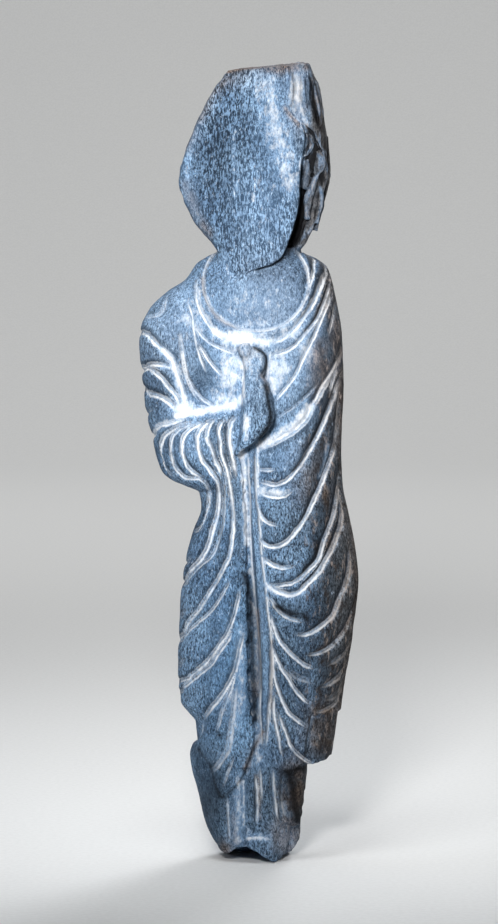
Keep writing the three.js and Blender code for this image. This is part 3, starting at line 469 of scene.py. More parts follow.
# Painted shadow and shade that stay dark over all other colours: contact shadows along the hand and under the
# chin, and shade in the hollows, cracks and gaps
PAINTED_SHADOW_STROKES = [
    (0.9, 0.9, [(54.5, 304), (49.5, 291.8), (46.2, 284.5), (43.4, 278.2), (40.6, 272.8), (37.8, 266.8),
        (33.8, 259.8), (28.8, 253.8)]),
    (1, 2.4, [(18, 165.5), (24, 162.6), (29.3, 161), (34.7, 159.3), (38.6, 157.2)]),
    (0.8, 0.7, [(51.5, 375), (48.5, 366.5), (45.5, 359), (42, 352), (36, 344.5)]),
    (0.8, 1.4, [(45.5, 208), (44, 202), (41, 196), (35, 189)]),
    (1, 6.4, [(26, 57), (28, 47), (29.5, 36), (31, 28)]),
    (1, 2.4, [(23, 58), (29, 59.5), (36, 61)]),
    (0.9, 0.9, [(-17.5, 41), (-12.4, 45), (-7, 50.3), (-3.1, 57), (-0.5, 63.5), (2.8, 73), (6, 79)]),
    (0.75, 0.8, [(-33, 73), (-28.5, 67), (-24.5, 60), (-23, 53), (-20.5, 46), (-18, 41.5)]),
    (1, 1.6, [(-20, 82.2), (-19, 81.8)]),
    (0.92, 3.2, [(-3, 186), (0.6, 172), (1.4, 150), (2.4, 130), (3, 108), (4, 92)]),
    (1, 2.2, [(10.6, 309), (11.7, 305), (12, 300.8), (13.2, 295.3), (14, 289.9), (13.4, 284.5), (11, 279.6),
        (6.8, 274.7)]),
    (0.7, 0.8, [(15.8, 288), (14.8, 284), (11, 278.6), (6, 273.8), (0, 269), (-6, 265.4)]),
    (1, 1.2, [(3.5, 333.6), (6.3, 332.2), (10.1, 329.4), (11.4, 325.7), (10.6, 320.8), (8.5, 317.5)]),
    (0.5, 0.7, [(-7.2, 334), (-7, 330.5), (-5, 327.5)]),
    (1, 1.5, [(34.4, 452), (34.2, 440), (34, 428), (33, 416)]),
    (1, 3, [(33, 418), (30.5, 406), (25, 395)]),
    (1, 1.1, [(23, 392), (16, 388.6), (9, 386), (6, 385)]),
    (1, 1.8, [(40, 509), (41, 500), (41.5, 492), (43.5, 484), (46, 476)]),
    (0.8, 0.8, [(43.5, 505), (44.8, 498), (47.5, 489)]),
    (0.85, 0.7, [(36.6, 508), (37, 500), (38, 490)]),
    (0.8, 0.7, [(28.2, 512), (29, 500), (27.6, 491)]),
    (0.8, 0.7, [(33, 476), (38, 471), (40.5, 466)]),
]

# Roughness of the stone: millimetres, cell size along x, y and z, seed, and how many layers of detail it has
ROUGHNESS = {
    "torn corner": (3, (4, 9, 1), 7, 1),
    "hem": (0.9, 4, 5, 1),
    "skin": (0.14, 5, 3, 3),
    "fine skin": (0.09, (1.6, 1.6, 3.4), 11, 1),
    "face": (0.4, (2.4, 5, 10), 21, 3),
    "face layers": (1.5, (15, 9, 42), 31, 3),
    "head": (0.45, (7, 7, 4.5), 23, 1),
    "hair": (0.75, (1.8, 4, 12), 41, 3),
    "fine hair": (0.45, (4, 6, 7), 47, 1),
    "hand": (0.65, (2.4, 4, 8), 51, 3),
    "back": (0.8, (14, 30, 9), 61, 3),
    "fine back": (0.35, (3.2, 8, 6), 67, 1),
    "valley": (1.2, (3, 3, 4.5), 71, 1),
    "fine valley": (0.6, 1.9, 73, 1),
    "underside": (1.2, 5, 81, 3),
    "ankle": (1, (4, 4, 6), 83, 1),
    "fine ankle": (0.5, 2, 89, 1),
    "crown": (0.9, (7, 7, 3), 91, 3),
    "chips": (1, (6, 6, 8), 101, 3),
    "stray x": (0.9, (5, 5, 6), 131, 2),
    "stray z": (0.9, (5, 5, 6), 137, 2),
}
LAYER_HEIGHT = 0.55  # of the flat layers that the face has split along
CHIP_DEPTH = 0.8

# Noise in the stone's colour: cells to the metre along x, y and z, layers of detail, roughness, shift, tilt
GRAINS = {
    "clouds": ((42, 42, 24), 5, 0.6, 0, 0),
    "coarse": ((560, 560, 230), 4, 0.7, 0, 0.14),
    "fine": ((1300, 1300, 560), 3, 0.65, 23, 0.14),
    "blades": ((950, 950, 250), 3, 0.65, 61, 0.14),
    "sparks": ((700, 700, 330), 3, 0.65, 3, 0.16),
    "pits": ((420, 420, 170), 4, 0.65, 7, 0.1),
    "streaks": ((170, 170, 20), 4, 0.6, 31, 0),
    "stains": ((160, 160, 120), 4, 0.6, 5, 0),
    "blotches": ((150, 150, 70), 5, 0.7, 41, 0.2),
    "scuffs": ((230, 230, 90), 5, 0.7, 53, -0.2),
    "grain": ((700, 700, 380), 4, 0.7, 11, 0),
    "wear": ((150, 150, 110), 4, 0.6, 2, 0),
    "sway": ((230, 230, 160), 2, 0.5, 17, 0),
    "paper": ((300, 300, 300), 3, 0.5, 0, 0),
}
FLECK = (0.012, 0.024, 0.045)
STONE = (0.13, 0.23, 0.38), (0.28, 0.45, 0.67)  # the two ends of its clouds
STREAK = (0.02, 0.036, 0.066)
PIT = (0.012, 0.02, 0.032)
SPARK = (0.5, 0.64, 0.82)
DARK_STONE_AND_SHADE = (0.004, 0.007, 0.011), (0.038, 0.058, 0.084)
PAINTED_SHADOW_BLACK = (0.004, 0.004, 0.005)
SHADE_ABOVE_LINE = (0.008, 0.012, 0.02)
RUST_FLECK = (0.025, 0.019, 0.016)
RUST = (0.33, 0.235, 0.185), (0.2, 0.145, 0.11)  # in the open, and where the stone is dark or has painted shade
BLOTCH = (0.022, 0.017, 0.015)
SCUFF = (0.36, 0.3, 0.27)
HAZE = (0.13, 0.25, 0.43), (0.4, 0.58, 0.81)
WHITE = (0.58, 0.64, 0.72), (0.88, 0.88, 0.87)
WARM_WHITE = (0.33, 0.28, 0.245)
PAPER = (0.78, 0.78, 0.77), (0.82, 0.82, 0.81)
SKY, SKY_STRENGTH = (0.9, 0.95, 1, 1), 0.13
# Soft lights: place and target in metres, size, watts, spread in degrees, colour
LIGHTS = {
    "key": ((-0.1, -1.2, 0.62), (0, 0, 0.34), 0.16, 1.4, 44, (1, 0.99, 0.98)),
    "top": ((-0.15, -0.42, 1.45), (0, -0.02, 0.3), 0.4, 0.75, 60, (0.95, 0.98, 1)),
    "edge": ((-1.5, 0.35, 0.8), (0, 0, 0.3), 0.7, 1.0, 120, (0.85, 0.92, 1)),
    "back": ((0.8, 2.2, 1.5), (0, 0, 0.3), 0.8, 3, 50, (0.95, 0.97, 1)),
    "paper": ((0, 2.3, 3.2), (0, 3.4, 0), 3, 55, 150, (1, 1, 1)),
}


def profile(pairs):
    """A smooth function through (height, value) pairs, with no overshoot between them."""
    rows = np.array(sorted(pairs), float)
    z, value = rows[:, 0], rows[:, 1]
    slope = np.diff(value) / np.diff(z)
    before, after = slope[:-1], slope[1:]
    same = before * after > 0
    inner = np.where(same, 2 * before * after / np.where(same, before + after, 1), 0)
    tangent = np.concatenate([slope[:1], inner, slope[-1:]])

    def at(height):
        h = np.clip(height, z[0], z[-1])
        i = np.clip(np.searchsorted(z, h) - 1, 0, len(slope) - 1)
        span = z[i + 1] - z[i]
        t = (h - z[i]) / span
        return (
            value[i] * (1 + 2 * t) * (1 - t) ** 2
            + tangent[i] * span * t * (1 - t) ** 2
            + value[i + 1] * t * t * (3 - 2 * t)
            + tangent[i + 1] * span * t * t * (t - 1)
        )

    return at


def column(rows, k):
    return profile([(row[0], row[k]) for row in rows])


def straight(x, points):
    """The value at x on straight lines between the points."""
    return np.interp(x, *np.array(points, float).T)


def smooth(t):
    t = np.clip(t, 0, 1)
    return t * t * (3 - 2 * t)


def above(value, level, soft):
    """0 up to the level, then rising softly to 1 as the value grows through the given range."""
    return smooth((value - level) / soft)


def below(value, level, soft):
    """0 down to the level, then rising softly to 1 as the value falls through the given range."""
    return smooth((level - value) / soft)


def bump(value, centre, half, power=2):
    """1 at the centre, falling off to both sides. A higher power gives a flatter top and steeper sides."""
    return np.exp(-(((value - centre) / half) ** power))


def layered(points, size, seed, octaves):
    """Smooth noise from -1 to 1 with cells of that size along x, y and z, and weaker, finer copies added."""
    size = np.asarray(size, float) * np.ones(3)
    parts = [noise(points, size / 2**k, seed + k) / 2**k for k in range(octaves)]
    return sum(parts) / sum(0.5**k for k in range(octaves))


def noise(points, size, seed):
    scaled = points / size
    cell = np.floor(scaled).astype(np.int64)
    part = smooth(scaled - cell)
    total = np.zeros(len(points))
    for corner in np.ndindex(2, 2, 2):
        # Whole numbers are mixed into a value that looks random and is the same each run.
        c = cell + corner
        mixed = c[:, 0] * 73856093 ^ c[:, 1] * 19349663 ^ c[:, 2] * 83492791 ^ (seed + 1) * 2654435761
        mixed = (mixed ^ (mixed >> 13)) * 1274126177
        value = ((mixed ^ (mixed >> 16)) & 0xFFFF) / 32767.5 - 1
        weight = np.prod(np.where(corner, part, 1 - part), axis=1)
        total += weight * value
    return total


def rough(points, name):
    amount, size, seed, octaves = ROUGHNESS[name]
    return amount * layered(points, size, seed, octaves)


def catmull(points, step):
    """Points about a step apart on a smooth curve through the given ones."""
    p = np.array(points, float)
    padded = np.concatenate([[2 * p[0] - p[1]], p, [2 * p[-1] - p[-2]]])
    out = []
    for a, b, c, d in zip(padded, padded[1:], padded[2:], padded[3:]):
        count = max(1, round(float(np.linalg.norm(c - b)) / step))
        t = (np.arange(count) / count)[:, None]
        out.append(
            0.5 * (2 * b + (c - a) * t + (2 * a - 5 * b + 4 * c - d) * t**2 + (3 * b - a - 3 * c + d) * t**3)
        )
    return np.concatenate([*out, p[-1:]])


def along(u, z, line):
    """Distance from each point to a line, how far along it that is, which side, how far that side lies
    downhill, and the line's length."""
    a, b = line[:-1], line[1:]
    step = b - a
    length = np.linalg.norm(step, axis=1)
    start = np.concatenate([[0], np.cumsum(length)])
    downhill = (-step[:, 1] * DOWNHILL[0] + step[:, 0] * DOWNHILL[1]) / length
    best = np.full(len(u), 1e9)
    share, side, lower = np.zeros((3, len(u)))
    for k in range(len(a)):
        du, dz = u - a[k, 0], z - a[k, 1]
        t = np.clip((du * step[k, 0] + dz * step[k, 1]) / length[k] ** 2, 0, 1)
        off_u, off_z = du - t * step[k, 0], dz - t * step[k, 1]
        d = np.hypot(off_u, off_z)
        near = d < best
        best[near] = d[near]
        share[near] = start[k] + t[near] * length[k]
        side[near] = np.sign(step[k, 0] * dz[near] - step[k, 1] * du[near])
        lower[near] = np.clip(downhill[k] / 0.4, -1, 1)
    return best, share, side, lower, start[-1]


def near_line(u, z, line, reach):
    """Numbers of the points inside the line's box, widened by the reach."""
    low, high = line.min(axis=0) - reach, line.max(axis=0) + reach
    return np.flatnonzero((u > low[0]) & (u < high[0]) & (z > low[1]) & (z < high[1]))


def trunk_middle(z):
    """The trunk's middle and half width at a height."""
    left, right = trunk_left(z), trunk_right(z)
    return (left + right) / 2, (right - left) / 2


def run_on(points):
    """The fold's points, carried on round the side at an end that comes near the outline."""
    out = [np.array(p, float) for p in points]
    for end, before in ((0, 1), (-1, -2)):
        x, z = points[end]
        middle, half = trunk_middle(z)
        step = out[end] - out[before]
        if z > LOWEST_RUN and abs(x - middle) / half > NEAR_OUTLINE and step[0] * (x - middle) > 0:
            run = RUN_ROUND * (0.85 + 0.3 * math.sin(z))
            ahead = [out[end] + step / np.linalg.norm(step) * run]
            if x < middle:
                # It levels out on the near side, so it notches the outline.
                way = np.sign(step) * (1, 2.5)
                ahead = [out[end] + way * (4, 1), out[end] + way * (run, 1.4)]
            out = [*ahead[::-1], *out] if end == 0 else [*out, *ahead]
    return out


def cut_folds(u, z, folds):
    """What the folds do at each point: how deep they cut, how pale the nearest line is, the way across it in
    half widths, which way across is downhill, and how much painted shade lies beside it."""
    deep, sunk, pale, lower, shade = np.zeros((5, len(u)))
    across = np.full(len(u), LINE_REACH)
    for depth, half, paleness, points in folds:
        line = catmull(points, CURVE_STEP)
        near = near_line(u, z, line, half * SHOULDER_WIDTH * FOLD_REACH)
        if not len(near):
            continue
        d, at, side, downhill, length = along(u[near], z[near], line)
        ends = smooth(np.minimum(at, length - at) / min(FOLD_TAPER, length / 2) + 0.12)
        wide = half * (0.7 + 0.3 * ends)
        # The upper wall of a cut is steep and the lower one slopes, with a raised lip.
        t = side * d / wide * np.sign(paleness)
        way_down = t * downhill
        width = 1 + np.where(way_down < 0, 0.25 * way_down.clip(-1, 0), 0.35 * way_down.clip(0, 1))
        lip = LIP_RISE * bump(way_down, LIP_PLACE, 1)
        deep[near] = np.maximum(deep[near], depth * ends * (bump(d / wide, 0, width) - lip))
        sunk[near] = np.maximum(sunk[near], FOLD_SHOULDER * ends * bump(d, 0, half * SHOULDER_WIDTH))
        # The shader draws the pale line, and the painted shade above it, from these, finer than the mesh.
        closer = np.abs(t) < np.abs(across[near])
        nearest = near[closer]
        across[nearest] = t[closer]
        lower[nearest] = downhill[closer]
        strength, off = (abs(paleness) * ends)[closer], np.abs(t[closer])
        pale[nearest] = strength * below(off, LINE_EDGE, 1.2)
        shade[nearest] = strength * below(off, LINE_REACH, 1.5)
    return deep + sunk, pale, across, lower, shade


trunk_left, trunk_right = profile(TRUNK_LEFT), profile(TRUNK_RIGHT)
trunk_front, trunk_back = profile(TRUNK_FRONT), profile(TRUNK_BACK)
stump_shape = [profile(p) for p in (STUMP_LEFT, STUMP_RIGHT, STUMP_FRONT, STUMP_BACK)]
fall_left, fall_right = (column(FALL_ROWS, k) for k in (1, 2))
hem_left, hem_right = (column(HEM_ROWS, k) for k in (1, 2))
valley_x, valley_half, valley_depth = (column(VALLEY_ROWS, k) for k in (1, 2, 3))
face_edge = profile(FACE_EDGE)
TRUNK_FOLDS = [(depth, half, paleness, run_on(points)) for depth, half, paleness, points in FOLDS]


def seen(x, y, z):
    """Where a point shows on the front view, on the upright plane through the figure's middle. What lies
    behind that plane is left where it is."""
    up = math.radians(CAMERA_ELEVATION)
    before, rise = np.minimum(y, 0), z - VIEW_CENTRE
    scale = CAMERA_DISTANCE / (CAMERA_DISTANCE + before * math.cos(up) - rise * math.sin(up))
    return x * scale, VIEW_CENTRE + (before * math.sin(up) + rise * math.cos(up)) * scale


def placed(x, y, z):
    """The x and z at depth y of a point that shows at x, z on the front view."""
    real_x, real_z = x, z
    for _ in range(4):
        shown_x, shown_z = seen(real_x, y, real_z)
        real_x, real_z = real_x + x - shown_x, real_z + z - shown_z
    return real_x, real_z


def swell(x, z):
    return sum(rise * np.exp(-(((x - cx) / w) ** 2) - ((z - cz) / h) ** 2) for cx, cz, w, h, rise in SWELLS)


def front_y(x, z):
    """The trunk's front surface before anything is cut into it."""
    middle, half = trunk_middle(z)
    power = TRUNK_POWERS[0]
    bulge = (1 - np.clip(np.abs(x - middle) / half, 0, 1) ** power) ** (1 / power)
    return -trunk_front(z) * bulge - swell(x, z) * np.minimum(1, bulge * SWELL_EDGE)


def unrolled(x, y, z):
    """x on the front, running on round the sides as if the cloth were laid flat there."""
    middle, half = trunk_middle(z)
    reach = half * SIDE_SHARE
    off = x - middle
    side = np.sign(off)
    turn = front_y(middle + side * reach, z)
    round_side = middle + side * (reach + np.maximum(0, y - turn) / SIDE_SLOPE)
    return np.where(np.abs(off) <= reach, np.where(y < 0, x, OFF_MAP), round_side)


def half_ring(left, right, depth, power, count, sign):
    """Level half rings with evenly spaced points: behind where the sign is 1, and in front where it is -1."""
    turn = np.linspace(0, np.pi, 181)
    ux = np.sign(np.cos(turn)) * np.abs(np.cos(turn)) ** (2 / power)
    uy = np.abs(np.sin(turn)) ** (2 / power)
    out = np.empty((len(left), count, 2))
    for i in range(len(left)):
        x = (left[i] + right[i]) / 2 + sign * (right[i] - left[i]) / 2 * ux
        y = sign * depth[i] * uy
        arc = np.concatenate([[0], np.cumsum(np.hypot(np.diff(x), np.diff(y)))])
        at = np.linspace(0, arc[-1], count + 1)[:-1]
        out[i, :, 0] = np.interp(at, arc, x)
        out[i, :, 1] = np.interp(at, arc, y)
    return out


def rings(z, shape, counts, powers):
    """Grid of points x, y, z: one level ring for each height, back half first. The shape is four functions of
    height, for the left and right edges and the depth in front and behind."""
    left, right, front, back = (side(z) for side in shape)
    behind = half_ring(left, right, back, powers[1], counts[1], 1)
    before = half_ring(left, right, front, powers[0], counts[0], -1)
    flat = np.concatenate([behind, before], axis=1)
    return np.dstack([flat, np.broadcast_to(z[:, None], flat.shape[:2])])


def heights(bottom, top):
    return np.arange(bottom, top + 0.01, GRID)


def split(grid):
    return [grid[..., k].copy() for k in range(3)]


def outward(grid):
    """Unit normals of a grid of rings."""
    round_ring = np.roll(grid, -1, axis=1) - np.roll(grid, 1, axis=1)
    n = np.cross(round_ring, np.gradient(grid, axis=0))
    return n / np.maximum(np.linalg.norm(n, axis=2, keepdims=True), 1e-9)


class Stone:
    """Collects closed pieces as one mesh."""

    def __init__(self):
        self.points = []
        self.faces = []
        self.count = 0

    def add_rings(self, grid):
        rows, columns = grid.shape[:2]
        i, j = np.meshgrid(np.arange(rows - 1), np.arange(columns), indexing="ij")
        k = (j + 1) % columns
        row, following = i * columns, (i + 1) * columns
        quads = np.stack([row + j, row + k, following + k, following + j], -1)
        caps = [list(range(columns))[::-1], [(rows - 1) * columns + c for c in range(columns)]]
        faces = quads.reshape(-1, 4).tolist() + caps
        self.points.append(grid.reshape(-1, 3))
        self.faces.extend([[n + self.count for n in face] for face in faces])
        self.count += rows * columns

    def add_strand(self, path, radius):
        """A closed tube with rounded ends."""
        line = catmull(path, 1.5)
        direction = np.gradient(line, axis=0)
        direction /= np.linalg.norm(direction, axis=1, keepdims=True)
        across = np.cross(direction, (0, 1, 0))
        across /= np.linalg.norm(across, axis=1, keepdims=True)
        up = np.cross(across, direction)
        t = np.linspace(0, 1, len(line))
        size = radius * (0.5 + 0.5 * np.sin(np.pi * np.clip(t, 0.08, 0.92)) ** 0.5)
        turn = np.linspace(0, 2 * np.pi, 14, endpoint=False)[None, :, None]
        spokes = np.cos(turn) * across[:, None] + np.sin(turn) * up[:, None]
        self.add_rings(line[:, None] + size[:, None, None] * spokes)


def face_surface(x, z):
    """The depth of the sheared face."""
    plane = FACE_Y + FACE_SLOPE[0] * x + FACE_SLOPE[1] * (z - FACE_Z)
    cx, cz, along_x, along_z = FACE_DOME
    dome = along_x * (x - cx) ** 2 + along_z * (z - cz) ** 2
    nx, ny, nz = CHEEK_NORMAL
    cheek = CHEEK[1] - (nx * (x - CHEEK[0]) + nz * (z - CHEEK[2])) / ny
    return np.maximum(plane + dome, np.minimum(cheek, CHEEK_DEEPEST))


def beside_face(x, z):
    """The broken hair beside the face, and below it the bed that the ear lies in."""
    hair = smooth((z - straight(x, HAIR_EDGE)) / 1.2 + 0.5)
    gap = 17 * bump(x - face_edge(z), 3.8, 3.6, 4) * below(z, 452, 30)
    return HAIR_FRONT * hair + (EAR_BED + gap) * (1 - hair)


def inside_opening(x, z):
    """How far inside the neck opening a point is."""
    cx, cz, rx, rz = NECK_OPENING
    return (1 - np.hypot((x - cx) / rx, (z - cz) / rz)) * rz


def trunk_relief(x, y, z):
    """How far the cloth stands out on the trunk, what cut_folds says of its lines, and where the fall is."""
    u, z = seen(unrolled(x, y, z), y, z)
    cut, *lines = cut_folds(u, z, TRUNK_FOLDS)
    relief = -cut
    # The fall of cloth and the rolled hem, with the valley between them
    soft = np.interp(z, (74, 84), (1.2, 7))
    in_fall = above(u, fall_left(z), soft) * (1 - above(u, fall_right(z) - 0.5, 1)) * below(z, 270, 14)
    relief += FALL_RISE * in_fall
    middle, half = (hem_left(z) + hem_right(z)) / 2, (hem_right(z) - hem_left(z)) / 2 + 0.6
    roll = np.sqrt(np.clip(1 - ((u - middle) / half) ** 2, 0, 1))
    relief += HEM_RISE * roll * below(z, 268, 8) * above(z, 70, 6)
    gap = bump(u, valley_x(z), valley_half(z) + 0.3, 4) * (z < 272) * above(z, 66, 8)
    relief -= valley_depth(z) * gap * (1 - in_fall)
    ragged = straight(u, TORN_CORNER) + rough(np.column_stack([u, z, 0 * z]), "torn corner")
    relief -= TORN_DEPTH * below(z, ragged, 1.2)
    # The neck opening is sunk, with a rim and a groove round it.
    inside = inside_opening(u, z)
    relief -= NECK_RECESS * smooth(inside / 1.4 + 0.5)
    relief += 0.9 * bump(inside, -2.4, 1.8) - 0.7 * bump(inside, 0, 0.9)
    return relief, lines, in_fall


def build_trunk(stone):
    z = heights(TRUNK_BOTTOM, TRUNK_TOP)
    grid = rings(z, (trunk_left, trunk_right, trunk_front, trunk_back), TRUNK_COUNTS, TRUNK_POWERS)
    x, y, height = split(grid)
    grid[..., 1] = y - swell(x, height) * np.clip(-y / trunk_front(height) * SWELL_EDGE, 0, 1)
    flat = [part.ravel() for part in split(grid)]
    relief, _, in_fall = trunk_relief(*flat)
    relief, in_fall = relief.reshape(x.shape), in_fall.reshape(x.shape)
    moved = grid + outward(grid) * (relief * below(grid[..., 1], 38, 32))[..., None]
    # Below the ragged hem only the fall of cloth is left, and the rest draws in behind the under robe.
    inner = rings(z, stump_shape, TRUNK_COUNTS, TRUNK_POWERS)
    inner[..., :2] = STUMP_CENTRE + (inner[..., :2] - STUMP_CENTRE) * STUMP_INSIDE
    shown_x, shown_z = seen(*flat)
    hem = straight(shown_x, HEM_LINE) + rough(np.column_stack([flat[0], flat[1], 0 * flat[0]]), "hem")
    gone = below(shown_z, hem, 1.1).reshape(x.shape) * (1 - smooth(in_fall * 8))
    stone.add_rings(moved * (1 - gone[..., None]) + inner * gone[..., None])


def build_stump(stone):
    grid = rings(heights(0, STUMP_TOP), stump_shape, STUMP_COUNTS, STUMP_POWERS)
    y = grid[..., 1]
    x, z = seen(*split(grid))
    relief = 2.2 * above(x, -13, 7) * (1 - above(x, -2.6, 0.9)) * above(z, 8, 6)
    relief += (1.3 * bump(x, 1, 3, 4) + 1.2 * bump(x, 11, 3.4, 4)) * above(z, 18, 5)
    # A ledge under the pleats, the deep hollow beside them, and the broken lower corner
    relief += 2.8 * above(x, -1.4, 1) * (1 - above(x, 15, 2)) * below(z, 17, 1.2)
    relief -= 10 * bump(x, 27, 5.4, 4) * bump(z, 41, 16, 4)
    relief -= (2.2 + 0.3 * (x - 18)) * above(x, 18, 1.5) * below(z, 25, 3)
    cut = cut_folds(np.where(y < 0, x, OFF_MAP).ravel(), z.ravel(), PLEATS)[0].reshape(x.shape)
    moved = grid + outward(grid) * ((y < 0) * relief - cut)[..., None]
    # The broken underside rises in a low arch in front and comes down to the ground behind.
    middle = moved[0, :, :2].mean(axis=0)
    under = middle + (moved[0, :, :2] - middle) * np.linspace(*UNDERSIDE_SHARES)[:, None, None]
    moved = np.concatenate([np.dstack([under, 0 * under[..., 0]]), moved])
    arch = straight(moved[..., 0], TOE_GAP) * below(moved[..., 1], 26, 40)
    moved[..., 2] = np.maximum(moved[..., 2], arch)
    stone.add_rings(moved)


def build_head(stone):
    shape = [profile(p) for p in (HEAD_LEFT, HEAD_RIGHT, HEAD_FRONT, HEAD_BACK)]
    grid = rings(heights(HEAD_BOTTOM, HEAD_TOP), shape, HEAD_COUNTS, HEAD_POWERS)
    x, y, z = split(grid)
    in_face = smooth((face_edge(z) - x) / 0.9 + 0.5)
    limit = face_surface(x, z) * in_face + beside_face(x, z) * (1 - in_face)
    limit += cut_folds(x.ravel(), z.ravel(), HAIR_CRACKS)[0].reshape(x.shape) * (1 - in_face)
    grid[..., 1] = np.where(y < 0, np.maximum(y, np.minimum(limit, DEEPEST_BREAK)), y)
    crown = CROWN[0] + CROWN[1] * grid[..., 0] + CROWN[2] * grid[..., 1]
    grid[..., 2] = np.minimum(z, crown)
    stone.add_rings(grid)
    neck = [*(profile(p) for p in (NECK_LEFT, NECK_RIGHT, NECK_FRONT)), lambda h: NECK_BACK + 0 * h]
    stone.add_rings(rings(np.arange(NECK_BOTTOM, NECK_TOP, GRID), neck, NECK_COUNTS, NECK_POWERS))
    # The lower part of the face stands free in front of the neck.
    z = heights(CHIN_ROWS[0][0], CHIN_ROWS[-1][0])[:, None]
    left, right = column(CHIN_ROWS, 1)(z), column(CHIN_ROWS, 2)(z)
    x = left + (right - left) * np.linspace(0, 1, 80)
    near = np.dstack([x, face_surface(x, z) + CHIN_SINK * below(z, 387, 14), z + 0 * x])
    far = np.dstack([x, CHIN_BACK + 0 * x, z + 0 * x])
    stone.add_rings(np.concatenate([near, far[:, ::-1]], axis=1))
    for path, radius in STRANDS:
        stone.add_strand(path, radius)


def build_hand(stone):
    z = heights(HAND_ROWS[0][0], HAND_ROWS[-1][0])
    left, right, front = (column(HAND_ROWS, k) for k in (1, 2, 3))
    depth = lambda h: (HAND_BACK - front(h)) / 2
    grid = rings(z, (left, right, depth, depth), HAND_COUNTS, HAND_POWERS)
    grid[..., 1] += (HAND_BACK + front(z))[:, None] / 2
    grid[..., 0], grid[..., 2] = placed(*split(grid))
    stone.add_rings(grid)
    knob = np.array(KNOB, float)
    knob[:, 0], knob[:, 2] = placed(*knob.T)
    stone.add_strand(knob, KNOB_RADIUS)


def mesh_object(name, points, faces):
    mesh = bpy.data.meshes.new(name)
    mesh.from_pydata((np.asarray(points) * MM).tolist(), [], faces)
    mesh.validate()
    made = bpy.data.objects.new(name, mesh)
    bpy.context.scene.collection.objects.link(made)
    return made


def apply_modifiers(obj):
    bpy.context.view_layer.update()
    baked = bpy.data.meshes.new_from_object(obj.evaluated_get(bpy.context.evaluated_depsgraph_get()))
    obj.modifiers.clear()
    old = obj.data
    obj.data = baked
    bpy.data.meshes.remove(old)


def read(items, name, width, kind=float):
    """One row of values for each vertex or edge."""
    values = np.empty(len(items) * width, kind)
    items.foreach_get(name, values)
    return values.reshape(-1, width)


def points_and_normals(mesh):
    return read(mesh.vertices, "co", 3) / MM, read(mesh.vertices, "normal", 3)


def spread(values, edges, steps):
    """Averages each vertex's values with its neighbours', so many times over."""
    a, b = edges
    count = len(values)
    degree = np.bincount(a, minlength=count) + np.bincount(b, minlength=count)
    for _ in range(steps):
        near = [np.bincount(a, v[b], count) + np.bincount(b, v[a], count) for v in values.T]
        values = 0.5 * values + 0.5 * np.column_stack(near) / np.maximum(degree, 1)[:, None]
    return values


def regions(p, n):
    """How much of each vertex belongs to the broken face, the hand, the robe, the back and the hair."""
    x, y, z = p.T
    edge = face_edge(z)
    on_plane = above(-n[:, 1], 0.6, 0.25) * (np.abs(y - face_surface(x, z)) < 3)
    back = above(n[:, 1], 0.2, 0.4)
    hand = above(z, 262, 4) * below(z, 340, 2) * above(x, -11, 2) * below(x, 18, 2) * below(y, -34, 2)
    return {
        "face": on_plane * above(z, 377, 4) * below(x, edge + 1, 2),
        "hand": hand,
        "robe": below(z, 398, 4) * (1 - hand) * (z > 42) * (1 - back),
        "back": back,
        "hair": above(z, 396, 6) * above(x - edge, 0.5, 2) * (1 - back),
    }


def weather(obj):
    """Breaks, chips and wear: moves the vertices of the joined stone by a little."""
    mesh = obj.data
    p, n = points_and_normals(mesh)
    x, y, z = p.T
    where = regions(p, n)
    move = rough(p, "skin") + rough(p, "fine skin")
    steps = ROUGHNESS["face layers"][0]
    move += where["face"] * (rough(p, "face") + LAYER_HEIGHT * np.round(rough(p, "face layers")) / steps)
    for name in ("hair", "back"):
        move += where[name] * (rough(p, name) + rough(p, "fine " + name))
    move += where["hand"] * rough(p, "hand")
    move += above(z, 404, 8) * rough(p, "head")
    move += above(z, 505, 4) * above(n[:, 2], 0, 0.5) * rough(p, "crown")
    # The edge of the cloth's fall along the valley, the far side of the ankles, and the underside
    edge = bump(x - fall_right(z), 0.8, 2) * below(z, 262, 10) * above(z, 56, 8) * (y < -15)
    move += edge * (rough(p, "valley") + rough(p, "fine valley"))
    move += above(x, 14, 8) * below(z, 58, 6) * (y < 8) * (rough(p, "ankle") + rough(p, "fine ankle"))
    move -= below(z, 16, 10) * (z > 0.8) * np.abs(rough(p, "underside"))
    chips = CHIP_DEPTH * above(rough(p, "chips"), 0.42, 0.12)
    move -= chips * (where["robe"] * above(x, 40, 12) + below(z, 70, 10))
    p = p + n * move[:, None]
    p[:, 2] = np.maximum(p[:, 2], 0)
    mesh.vertices.foreach_set("co", (p * MM).ravel())
    mesh.update()


def painted(x, z, patches, strokes=()):
    """The strongest of the soft patches and strokes at each point."""
    most = np.zeros(len(x))
    for cx, cz, wide, high, strength in patches:
        off = ((x - cx) / wide) ** 2 + ((z - cz) / high) ** 2
        most = np.maximum(most, strength * np.exp(-off))
    for strength, half, points in strokes:
        line = catmull(points, CURVE_STEP)
        near = near_line(x, z, line, half * 2.5)
        d = along(x[near], z[near], line)[0]
        most[near] = np.maximum(most[near], strength * np.exp(-((d / half) ** 1.6)))
    return most


